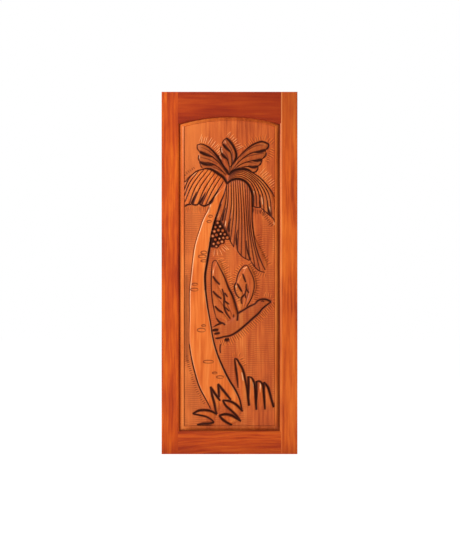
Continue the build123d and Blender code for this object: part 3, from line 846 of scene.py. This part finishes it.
# %% Strokes round the blades
blade_strokes = [
    ([(-106, 382), (-99, 342), (-85, 290), (-74, 237), (-70, 226)], 11),
    ([(-106, 382), (-80, 342), (-52, 303)], 11),
    ([(-64, 398), (-60, 360), (-58, 322)], 11),
    ([(-64, 398), (-25, 349), (8, 309)], 11),
    ([(-38, 306), (3, 300), (31, 286), (74, 243)], 11),
    ([(-38, 306), (-22, 277), (10, 248), (48, 209), (62, 188)], 11),
    ([(-58, 220), (-25, 227), (13, 220), (38, 206), (64, 187)], 12),
    ([(-58, 220), (-39, 199), (-15, 181), (14, 166)], 12),
    ([(-206, 229), (-176, 246), (-137, 250), (-102, 244), (-70, 226)], 11),
    ([(-206, 229), (-162, 221), (-127, 212), (-99, 195), (-86, 182)], 8.5),
    ([(-86, 182), (-109, 176), (-144, 174), (-182, 167)], 12),
    ([(27, 538), (38, 537), (55, 514), (73, 482), (90, 412), (103, 332), (110, 275)], 11,
     (0.6, 0.8, 1, 0.8, 0.7, 1, 1)),
    ([(106, 437), (122, 433), (136, 412), (143, 377), (146, 325), (151, 252)], 11, (0.5, 0.8, 1, 1, 1, 0.8)),
    ([(152, 410), (168, 412), (184, 398), (192, 350), (196, 300), (199, 254)], 11),
    ([(192, 407), (213, 383), (227, 342), (237, 304), (249, 266)], 12, (0.8, 1, 0.9, 0.9, 1)),
]
wedges = [  # between the blades, where less glaze stays
    ([(29, 534), (36, 482), (43, 430), (48, 374)], 14, (0.6, 1, 0.8, 0.35)),
    ([(106, 440), (107, 390), (107, 330), (110, 277)], 15, (0.9, 1, 0.7, 0.3)),
    ([(152, 412), (152, 360), (151, 300), (152, 254)], 16, (0.9, 1, 0.7, 0.3)),
    ([(193, 402), (192, 360), (195, 307), (199, 256)], 14, (1, 1, 0.7, 0.4)),
]
carve(blade_strokes, depth=0.42, dark=0.9)
carve(wedges, depth=0.42, dark=0.62)

# %% [markdown]
# ## Painted glints
# Painted highlights stand for the lacquer's glints on sharp edges: at the leaflets' tips, on their flanks
# beside a deep channel, and on the blades. A glint brightens the wood and cuts nothing.

# %% Painted glints
painted_glints = [  # from X and Z to X and Z, the width and how bright
    (135, 1478, 137, 1416, 7, 1), (180, 1446, 186, 1402, 6, 1), (223, 1392, 231, 1350, 6, 0.9),
    (249, 1318, 250, 1288, 5, 0.9), (-30, 1362, -34, 1328, 5, 0.8), (-20, 1312, -26, 1272, 6, 1),
    (2, 1284, -6, 1252, 5, 0.9), (-58, 1350, -66, 1326, 5, 0.7), (40, 1226, 34, 1188, 5, 0.6),
    (-172, 1686, -168, 1660, 5, 0.9), (-166, 1646, -158, 1622, 5, 0.8), (-172, 1735, -146, 1722, 6, 0.6),
    (-26, 1762, -18, 1742, 6, 0.8), (-45, 1708, -36, 1680, 6, 0.9), (-54, 1676, -44, 1652, 5, 0.7),
    (168, 1744, 208, 1736, 6, 0.7), (150, 1688, 196, 1700, 5, 0.5), (130, 1638, 176, 1642, 5, 0.5),
    (-128, 1716, -76, 1668, 6, 0.45), (-140, 1662, -84, 1646, 5, 0.45), (-120, 1612, -66, 1594, 5, 0.4),
    (8, 1740, 26, 1690, 6, 0.4), (90, 1694, 150, 1726, 6, 0.45), (80, 1652, 120, 1672, 5, 0.4),
    (-90, 1050, -92, 1004, 6, 0.6), (74, 1042, 100, 1052, 6, 0.8), (33, 950, 38, 934, 7, 1),
    (52, 1012, 60, 1030, 5, 0.6), (68, 462, 77, 414, 6, 1), (131, 418, 134, 330, 6, 0.6),
    (171, 402, 174, 350, 6, 0.7), (-90, 236, -120, 243, 5, 0.3),
]
for x, z, x_end, z_end, width, glint_light in painted_glints:
    gouge([(x, z), (x_end, z_end)], width, depth=0, dark=0, light=glint_light)
print("worn spots:", len(painted_glints))

# %% [markdown]
# ## Gouge marks on the ground
# Around each figure the carver has flicked short strokes outwards, which catch the light like rays. Each has a
# painted highlight and, beside it, glaze with painted shade. A loop places them along a curve with a little
# seeded unevenness.

# %% A row of rays
dice = np.random.default_rng(7)
ray_spacing = 12.0
ray_light = 0.74  # of the brightest painted highlight on a ray, where 1 is as pale as the wood gets


def unfitted(point):
    """The drawn place of a point of the real field."""
    share = (point[1] - opening_foot - border_inset) / field_height
    return (
        point[0] * drawn_half_width / (opening_half - border_inset),
        drawn_foot + share * (drawn_crown - drawn_foot),
    )


def rays(points, side, length, light):
    """Short strokes that stand on one side of a drawn curve, each a lit flank with a painted highlight and a
    flank with glaze and painted shade.
    """
    line = smooth(points)
    ahead = np.gradient(line, axis=0)
    ahead /= np.hypot(*ahead.T)[:, None]
    steps = max(1, round(len(line) * sample_step / ray_spacing))
    for index in np.linspace(0, len(line) - 1, steps + 1).astype(int):
        outward = side * np.array([-ahead[index, 1], ahead[index, 0]]) + dice.uniform(-0.1, 0.1) * ahead[index]
        start = line[index] + outward * dice.uniform(5, 9)
        end = start + outward * length * dice.uniform(0.75, 1.15)
        beside = ahead[index] * ray_spacing * 0.4
        width = dice.uniform(4.2, 5.6)
        if light:
            # The ray's painted highlight.
            gouge([unfitted(start), unfitted(end)], width, depth=0.25, dark=0.0, light=ray_light * light)
        shaded_flank = [unfitted(start + beside), unfitted(end + beside)]
        # Glaze and painted shade on a flank beside the ray.
        gouge(shaded_flank, width * 0.8, FADING, depth=0.1, dark=0.62 - 0.3 * light)
    return steps + 1


print("rays to a decimetre of a curve:", round(100 / ray_spacing, 1))

# %% Set out the rays
ray_lines = [  # the curve, its side, the strokes' length and how bright their painted highlights are
    ([(-172, 1746), (-124, 1732), (-66, 1676)], 1, 44, 1),
    ([(-250, 1548), (-226, 1572), (-196, 1594)], 1, 16, 0.2),
    ([(-24, 1780), (4, 1759), (24, 1732), (36, 1708)], 1, 36, 0.95),
    ([(92, 1710), (126, 1732), (160, 1750), (205, 1756), (226, 1738)], 1, 30, 0.7),
    ([(224, 1720), (212, 1690), (196, 1656)], 1, 30, 0.75),
    ([(164, 1568), (192, 1538), (234, 1486), (252, 1450)], 1, 44, 0.9),
    ([(-246, 1392), (-190, 1398), (-116, 1396)], -1, 34, 0.7),
    ([(-92, 1160), (-66, 1158), (-34, 1182)], -1, 38, 0.95),
    ([(-70, 1090), (-30, 1008), (2, 928), (30, 860)], 1, 34, 0.7),
    ([(-60, 645), (4, 664), (70, 706), (130, 760), (188, 816), (236, 856)], -1, 36, 0.55),
    ([(192, 880), (238, 868), (242, 846)], 1, 26, 0.8),
    ([(136, 1052), (174, 1030), (200, 1022)], -1, 24, 0.5),
    ([(206, 1060), (168, 1140), (146, 1220)], -1, 26, 0.5),
    ([(-228, 560), (-204, 470), (-176, 380), (-134, 300)], -1, 16, 0.3),
    ([(84, 1068), (56, 1030), (32, 960)], -1, 20, 0.7),
    ([(98, 1066), (128, 1012), (142, 950), (128, 880)], 1, 26, 0.3),
    ([(20, 545), (42, 545), (70, 500)], 1, 26, 0.6), ([(132, 1386), (180, 1380), (248, 1300)], -1, 26, 0),
]
count = sum(rays(*row) for row in ray_lines)
print("gouge rays:", count)

# %% [markdown]
# ## Add up the layers
# The surface is the ground or a figure, less the cuts, and then softened by about a point, which rounds every
# arris as sanding does. Dark glaze also settles wherever the surface lies lower than its surroundings, and
# painted shade darkens the same hollows, so the stain gets a share of the difference between a widely blurred
# surface and the surface itself. Ridges that stand above their surroundings get a painted highlight in the same
# way.

# %% Soften the surface, let the glaze and painted shade settle, and paint highlights on ridges
def soften(layer, radius):
    """Three passes of a square average, close to a Gaussian blur of that many points."""
    for axis in (0, 1, 0, 1, 0, 1):
        size = 2 * radius + 1
        padding = [(size // 2 + 1, size // 2) if axis == n else (0, 0) for n in (0, 1)]
        total = np.cumsum(np.pad(layer, padding, mode="edge"), axis=axis, dtype=np.float64)
        ends = np.take(total, range(size, total.shape[axis]), axis)
        starts = np.take(total, range(total.shape[axis] - size), axis)
        layer = (ends - starts) / size
    return layer


surface = soften(figure - cut, 1)
hollow = soften(surface, 6) - surface  # how far a point lies below what surrounds it
ridge = surface - soften(surface, 4)  # or above it
glaze_and_shade_in_hollows = np.clip((hollow - 0.6) / 4.5, 0, 0.45)
# Painted highlight on the ridges.
painted_highlight = np.clip((ridge - 0.25) / 2.0, 0, 0.4)
glaze_and_shade_seen = np.clip(soften(stain, 1) + 0.24 * soften(stain, 7) + glaze_and_shade_in_hollows, 0, 1)
pale_and_highlight_seen = np.clip(1.2 * soften(bright, 1) + painted_highlight, 0, 1)
print(f"surface from {surface.min():.1f} to {surface.max():.1f} mm, stained share {glaze_and_shade_seen.mean():.2f}")

# %% [markdown]
# ## A mesh that is fine only where it has to be
# A point every 0.7 mm would make four million triangles, most of them on flat ground. Blender's Decimate could
# thin such a mesh, but it knows nothing of the stain. Halving right triangles does better: start with large
# ones, and halve each whose long side misses the surface or the stain by more than a tolerance. Where the error
# of each halving is at least that of the halvings below it, neighbours always agree and no cracks open.

# %% Outlines that all follow the opening
straight_share = 0.8  # of the sill and the arch, where points keep their X, so that a glue line's wall is flat


def arch_at(x, inset):
    return arch_centre + np.sqrt((arch_radius - inset) ** 2 - x**2)


def outline(side, share, side_inset, top_inset, foot_inset):
    """Points inside the opening's outline by so much: sill 0, right side 1, arch 2 and left side 3."""
    half = opening_half - side_inset
    turned = np.where(side == 0, 2 * share - 1, 1 - 2 * share)
    past = np.clip((np.abs(turned) - straight_share) / (1 - straight_share), 0, 1)
    across = turned * (opening_half - field_inset) + past * np.sign(turned) * (field_inset - side_inset)
    foot = opening_foot + foot_inset
    x = np.choose(side, [across, half + 0 * share, across, -half + 0 * share])
    top = arch_at(x, top_inset)
    z = np.choose(side, [foot + 0 * share, foot + share * (top - foot), top, top + share * (foot - top)])
    return x, z


# %% The lattice, and the surface sampled on it
square = 256  # lattice steps along the side of one square
squares_across, squares_up = 3, 10
lattice_columns = squares_across * square + 1
lattice_rows = squares_up * square + 1
across_share = np.linspace(0, 1, lattice_columns)[None, :]
up_share = np.linspace(0, 1, lattice_rows)[:, None]
lattice_x = (2 * across_share - 1) * (opening_half - field_inset) + 0 * up_share
lattice_z = board_foot + up_share * (arch_at(lattice_x, head_inset + line_width) - board_foot)


def sampled(layer, x, z):
    """A board layer read between its points."""
    column = np.clip((x - board_left) / board_pitch, 0, board_columns - 1.001)
    row = np.clip((z - board_foot) / board_pitch, 0, board_rows - 1.001)
    c, r = column.astype(int), row.astype(int)
    u, v = column - c, row - r
    low = layer[r, c] * (1 - u) + layer[r, c + 1] * u
    high = layer[r + 1, c] * (1 - u) + layer[r + 1, c + 1] * u
    return low * (1 - v) + high * v


lattice = [sampled(layer, lattice_x, lattice_z).ravel() for layer in (surface, glaze_and_shade_seen, pale_and_highlight_seen)]
tolerances = 0.1, 0.07, 0.15  # millimetres of height, share of glaze and shade, share of paleness and highlight
weighed = np.array([layer / limit for layer, limit in zip(lattice, tolerances)], np.float32)
print("lattice points:", weighed.shape[1])


# %% Halve the triangles
def halve(a, b, c):
    """Both halves of triangles whose long side runs from a to b."""
    middle = (a + b) // 2
    return np.concatenate([c, b]), np.concatenate([a, c]), np.concatenate([middle, middle])


def first_triangles():
    row, column = np.mgrid[0:squares_up, 0:squares_across] * square
    low_left = (row * lattice_columns + column).ravel()
    low_right, high_left = low_left + square, low_left + square * lattice_columns
    high_right = high_left + square
    return (
        np.concatenate([low_left, high_right]), np.concatenate([high_right, low_left]),
        np.concatenate([high_left, low_right]),
    )


halvings = 2 * round(math.log2(square))
levels = [first_triangles()]
for _ in range(halvings - 1):
    levels.append(halve(*levels[-1]))
error = np.zeros(weighed.shape[1], np.float32)
for depth, (a, b, c) in reversed(list(enumerate(levels))):
    middle = (a + b) // 2
    missed = np.abs(weighed[:, middle] - (weighed[:, a] + weighed[:, b]) / 2).max(axis=0)
    if depth < halvings - 1:
        missed = np.maximum(missed, np.maximum(error[(a + c) // 2], error[(b + c) // 2]))
    np.maximum.at(error, middle, missed)


print("halvings down to one lattice step:", halvings)


# %% Keep the triangles that are fine enough
most_triangles = 175000  # in one stave


def triangles_within(tolerance):
    kept = []
    corners = levels[0]
    for _ in range(halvings):
        wanted = error[(corners[0] + corners[1]) // 2] > tolerance
        kept.append(np.column_stack([corner[~wanted] for corner in corners]))
        corners = halve(*[corner[wanted] for corner in corners])
    return np.concatenate([*kept, np.column_stack(corners)])


def stave_of(triangles):
    """The stave that each triangle lies in, counted from the left."""
    return (triangles % lattice_columns).min(axis=1) // square


finest, coarsest = 0.2, 30.0
for _ in range(12):
    tolerance = math.sqrt(finest * coarsest)
    triangles = triangles_within(tolerance)
    if np.bincount(stave_of(triangles)).max() > most_triangles:
        finest = tolerance
    else:
        coarsest = tolerance
triangles = triangles_within(coarsest)
print(f"triangles within {coarsest:.2f} tolerances, by stave: {np.bincount(stave_of(triangles))}")

# %% [markdown]
# ## Border, bevel, tongue and back
# Outside the field the panel is turned work: an incised line, a flat border, a bevel down to the tongue that
# sits in the groove, and the same bevel on a plain back. Each of these is a ring of faces between two copies of
# the field's edge, moved in or out and set to a depth, so the mitred corners and the arch come by themselves.
# A panel this wide is glued up from several staves. Modelled as three staves, each closed by a wall at its glue
# line, the panel may also have three times as many faces as one mesh should.

# %% Set out the rings
line_floor = ground_level - 1.2
arris = 0.3  # rounding of the worked edges
slope = (border_level - tongue_half) / (bevel_width - 0.5)
band = border_width - head_border_width
rings = [  # inset at the sides, the head and the foot, level in front of the middle, glaze and painted shade
    (inset, inset - band, inset, level, dark)
    for inset, level, dark in [
        (field_inset - 0.6, line_floor, 0.4), (border_inset + 0.5, line_floor, 0.4),
        (border_inset + 0.1, ground_level + 1, 0.25), (border_inset - 0.1, border_level - arris, 0.1),
        (border_inset - arris, border_level, 0.05),
    ]
]
bevel = [
    (bevel_width + arris, border_level, 0.05), (bevel_width - 0.2, border_level - 0.2, 0.05),
    (bevel_width - 1.2, border_level - 1.2 * slope, 0.05), (6.0, tongue_half + 5.5 * slope, 0.1),
    (2.5, tongue_half + 2 * slope, 0.4), (0.5, tongue_half, 0.8),
]
rings += [(inset, inset, inset, level, dark) for inset, level, dark in bevel]
rings += [(-tongue_reach, -tongue_reach, -tongue_foot, level, 0.8) for level in (tongue_half, -tongue_half)]
rings += [(inset, inset, inset, -level, dark) for inset, level, dark in reversed(bevel)]
print(len(rings), "rings round the field")


# %% Walk along a stave's rim
last_row, last_column = lattice_rows - 1, lattice_columns - 1


def rim_run(side, used, first_column, last_used_column):
    """The used lattice points on one side of the field, in the order of its outline."""
    row, column = used // lattice_columns, used % lattice_columns
    distance, length, on_side = [
        (column, last_column, row == 0), (row, last_row, column == last_column),
        (last_column - column, last_column, row == last_row), (last_row - row, last_row, column == 0),
    ][side]
    if side in (0, 2):
        on_side &= (column >= first_column) & (column <= last_used_column)
    found = np.flatnonzero(on_side)
    found = found[np.argsort(distance[found])]
    return found, np.full(len(found), side), distance[found] / length


def join_runs(runs):
    """Runs that meet in corners, as one walk that passes each corner once."""
    parts = [runs[0]] + [tuple(values[1:] for values in run) for run in runs[1:]]
    return [np.concatenate(values) for values in zip(*parts)]


def walks_of(number, used):
    """The walks along one stave's rim, from one glue line to the next."""
    limits = number * square, (number + 1) * square
    sill, right, arch, left = [rim_run(side, used, *limits) for side in range(4)]
    if number == 0:
        return [join_runs([arch, left, sill])]
    if number == squares_across - 1:
        return [join_runs([sill, right, arch])]
    return [join_runs([sill]), join_runs([arch])]


# %% [markdown]
# ## One stave
# A stave is the carved triangles, a strip of faces from ring to ring along each walk, the back, and a wall at
# each glue line. The wall follows the carved edge, then steps back from ring to ring at the head and at the
# foot, so all edges are shared by exactly two faces and the stave is closed.

# %% Glaze, painted shade and painted highlights on the rings
plain_bright = 0.1
highlight_width = bevel_width - 2  # rings further in than this are on the border, where the painted highlight lies


def ring_shade_and_highlight(side, share, inset, level, dark):
    """How dark and how bright a ring's points are, on the front by side: sill, right, arch and left."""
    plain = np.full(len(share), plain_bright)
    if level < 0:
        return np.full(len(share), dark), plain
    # Glaze scaled by side as the light falls, with painted shade added on the sill and the right side, whose
    # bevels face away from the light.
    glaze_and_side_shade = np.choose(side, [0.2, 0.08, 0, 0]) + dark * np.choose(side, [0.4, 1, 0.2, 0.9])
    arch_end = plain_bright + 0.54 * np.clip(10 * share - 9, 0, 1)
    # Painted highlight on the border: on the right side, on the left more towards the head, and at the arch's
    # left end.
    painted_highlight = np.choose(side, [plain, 0.45 + 0 * share, arch_end, 0.64 - 0.5 * share])
    return glaze_and_side_shade, painted_highlight if inset > highlight_width else plain


# %% Build a stave
def glue_walls(number, used, ladders):
    """The wall at each glue line of a stave."""
    for place, ladder in enumerate(ladders):
        after = ladders[(place + 1) % len(ladders)]
        right = number == 0 or (place == 0 and number < squares_across - 1)
        front = np.flatnonzero(used % lattice_columns == (number + right) * square)
        yield np.concatenate([front[::-1] if right else front, ladder[1:, -1], after[:0:-1, 0]]).tolist()


def build_stave(number):
    corners = triangles[stave_of(triangles) == number]
    used, corners = np.unique(corners, return_inverse=True)
    faces = corners.reshape(-1, 3).tolist()
    height, dark, light = [layer[used] for layer in lattice]
    points = [np.column_stack([lattice_x.ravel()[used], -(ground_level + height), lattice_z.ravel()[used]])]
    dark_and_light = [(dark, light)]
    first = len(used)
    ladders = []  # for each walk, its points on the field's edge and on every ring
    for found, side, share in walks_of(number, used):
        ladder = [found]
        for *insets, level, dark in rings:
            x, z = outline(side, share, *insets)
            points.append(np.column_stack([x, np.full(len(x), -level), z]))
            dark_and_light.append(ring_shade_and_highlight(side, share, insets[0], level, dark))
            ladder.append(first + np.arange(len(x)))
            first += len(x)
        for inner, outer in zip(ladder, ladder[1:]):
            faces += np.column_stack([inner[:-1], outer[:-1], outer[1:], inner[1:]]).tolist()
        ladders.append(np.array(ladder))
    faces.append(np.concatenate([ladder[-1] for ladder in ladders])[::-1].tolist())
    faces += glue_walls(number, used, ladders)
    dark, light = [np.concatenate(values) for values in zip(*dark_and_light)]
    return np.concatenate(points), faces, {"stain": dark, "bright": light}


# %% Make the staves' meshes
def make_stave(number):
    points, faces, layers = build_stave(number)
    name = f"carved_panel_stave_{number + 1}"
    mesh = bpy.data.meshes.new(name)
    mesh.from_pydata((points * MM).tolist(), [], faces)
    for layer, values in layers.items():
        attribute = mesh.attributes.new(layer, "FLOAT", "POINT")
        attribute.data.foreach_set("value", values.astype(np.float32))
    mesh.shade_smooth()
    mesh.set_sharp_from_angle(angle=math.radians(55))
    stave = bpy.data.objects.new(name, mesh)
    bpy.context.scene.collection.objects.link(stave)
    edges = np.concatenate([np.column_stack([face, np.roll(face, -1)]) for face in faces])
    forward = edges[:, 0] * len(points) + edges[:, 1]
    backward = edges[:, 1] * len(points) + edges[:, 0]
    closed = len(np.unique(forward)) == len(forward) and np.array_equal(np.sort(forward), np.sort(backward))
    print(name, len(faces), "faces,", "closed" if closed else "open")
    return stave


staves = [make_stave(number) for number in range(squares_across)]

# %% [markdown]
# ## Finish of the panel
# The panel's wood is lighter and more orange than the frame's, with upright grain. The painted stain, glaze with
# painted shade, darkens it towards black-brown in the cuts and hollows. The bright layer makes the wood paler on
# the polished trunk and the leaves, and paints pale pink highlights on edges, glints and gouge rays. Fine ripples
# from the scraper run across the ground, too shallow for the mesh, so they are a bump.

# %% Paint the panel
chatter_pitch = 0.0105  # of the scraper's ripples, in metres
lit_wood, chatter_brown, pale_pink_highlight = (222, 122, 54), (150, 62, 26), (251, 190, 138)
thin_glaze_and_shade, thick_glaze_and_shade = (112, 44, 14), (56, 19, 6)


def chatter_on(finish, x, y, z, dark, light):
    """Patches of the scraper's ripples, on the plain ground of the front and below its head."""
    drift = finish.noise(finish.vector(x * 14, y, z * 5))
    ripples = (z * (2 * math.pi / chatter_pitch) + drift * 9).wave() * 0.5 + 0.5
    patches = finish.noise(finish.vector(x * 10, y, z * 7), 1).step(0.32, 0.56)
    plain = (1 - light.step(0.0, 0.3)) * (1 - dark.step(0.0, 0.5)) * z.step(1.62, 1.4) * y.step(0.0, -0.01)
    return ripples * patches * plain


def finish_panel():
    finish = Finish(bpy.data.materials.new("carved_panel_finish"))
    figure, middle, fine, pore = grain_of(finish, "Z", 5.2, 0.02)
    dark, light = finish.spot("stain"), finish.spot("bright")
    x, y, z = finish.parts()
    tone = figure + 0.5
    ground = finish.ramp(
        tone, (0.1, (166, 68, 26)), (0.4, (194, 88, 36)), (0.65, (207, 101, 41)), (0.95, (221, 124, 56))
    )
    clean = finish.ramp(tone, (0.1, (196, 84, 26)), (0.5, (221, 108, 38)), (0.95, (236, 134, 60)))
    ground = finish.mix(x.step(-0.08, -0.2) * 0.45, ground, lit_wood)
    chatter = chatter_on(finish, x, y, z, dark, light)
    colour = finish.mix(chatter * 0.6, ground, chatter_brown)
    colour = finish.mix(light.step(0.0, 0.5), colour, clean)
    # Painted highlight: glints, rays and ridges turn pale pink.
    colour = finish.mix(light.step(0.5, 1.0), colour, pale_pink_highlight)
    # Glaze and painted shade darken the wood towards black-brown.
    mottled_dark = dark * (0.85 + 0.3 * finish.noise(finish.place(), scale=60.0))
    colour = finish.mix(mottled_dark.step(0.0, 0.65), colour, thin_glaze_and_shade)
    colour = finish.mix(mottled_dark.step(0.5, 1.0), colour, thick_glaze_and_shade)
    height = fine * 0.25 - pore * 0.3 - chatter * 0.8
    roughness = 0.44 + dark * 0.35 + (middle - 0.5) * 0.1
    return lacquered(finish, colour, roughness, height, 0.5, 0.0006, (1 - dark) * coat_share)


panel_finish = finish_panel()
for stave in staves:
    stave.data.materials.append(panel_finish)
    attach(stave, "root")
    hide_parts("carved_panel")
print("materials:", len(bpy.data.materials))

# %% [markdown]
# ## Floor, background and light
# The photograph shows the door cut out on plain white. A white floor meets a white world, so no horizon shows.
# To camera rays the world has strength 1, which is white, and lights the door at a quarter of that. The floor
# mostly glows to camera rays, just enough to be as white, and its paper takes the door's soft shadow. The light
# is a small lamp to the left and a little above, which rakes across the carving, and a wide weak one behind.

# %% Floor
floor_size = 30.0
floor_glow = 1.14  # to camera rays, which also see a share of the paper
glow_share = 0.85


def make_floor():
    finish = Finish(bpy.data.materials.new("floor_finish"))
    camera_ray = finish.node("ShaderNodeLightPath", {}, {}, "Is Camera Ray")
    paper = finish.mix(finish.noise(finish.place(), scale=40.0), (250, 250, 250), (255, 255, 255))
    paper = finish.node("ShaderNodeBsdfDiffuse", {}, {"Color": paper})
    glow = finish.node("ShaderNodeEmission", {}, {"Color": (1, 1, 1, 1), "Strength": floor_glow})
    shader = finish.node("ShaderNodeMixShader", {}, {0: camera_ray * glow_share, 1: paper, 2: glow})
    half = floor_size / 2
    mesh = bpy.data.meshes.new("floor")
    mesh.from_pydata([(-half, -half, 0), (half, -half, 0), (half, half, 0), (-half, half, 0)], [], [(0, 1, 2, 3)])
    mesh.materials.append(finish.surface(shader))
    floor = bpy.data.objects.new("floor", mesh)
    bpy.context.scene.collection.objects.link(floor)


make_floor()
print("floor:", floor_size, "metres square")

# %% World
ambient = 0.26  # the world's light on the door


def make_world():
    world = bpy.data.worlds.new("white_studio")
    bpy.context.scene.world = world
    finish = Finish(world)
    camera_ray = finish.node("ShaderNodeLightPath", {}, {}, "Is Camera Ray")
    strength = camera_ray * (1 - ambient) + ambient
    white = finish.node("ShaderNodeBackground", {}, {"Color": (1, 1, 1, 1), "Strength": strength})
    finish.node("ShaderNodeOutputWorld", {}, {"Surface": white})


make_world()
bpy.context.scene.view_settings.view_transform = "Standard"
print("world:", bpy.context.scene.world.name)

# %% Lamps
def make_lamp(name, azimuth, elevation, distance, size, level):
    """A square lamp that looks at the door's middle and lights a facing white card to that level."""
    middle_of_door = (cad_box[0] + cad_box[1]) / 2
    a, e = math.radians(azimuth), math.radians(elevation)
    back_off = -math.sin(a) * math.cos(e), -math.cos(a) * math.cos(e), math.sin(e)
    lamp = bpy.data.lights.new(name, "AREA")
    lamp.size = size
    lamp.energy = level * math.pi**2 * distance**2
    holder = bpy.data.objects.new(name, lamp)
    holder.location = [m + distance * b for m, b in zip(middle_of_door, back_off)]
    aim = middle_of_door - holder.location
    holder.rotation_euler = aim.to_track_quat("-Z", "Y").to_euler()
    bpy.context.scene.collection.objects.link(holder)
    return holder


key = make_lamp("key_lamp", azimuth=38, elevation=16, distance=6.0, size=1.4, level=0.86)
back = make_lamp("back_lamp", azimuth=205, elevation=25, distance=6.0, size=3.0, level=0.45)
print("lamps:", key.name, back.name)
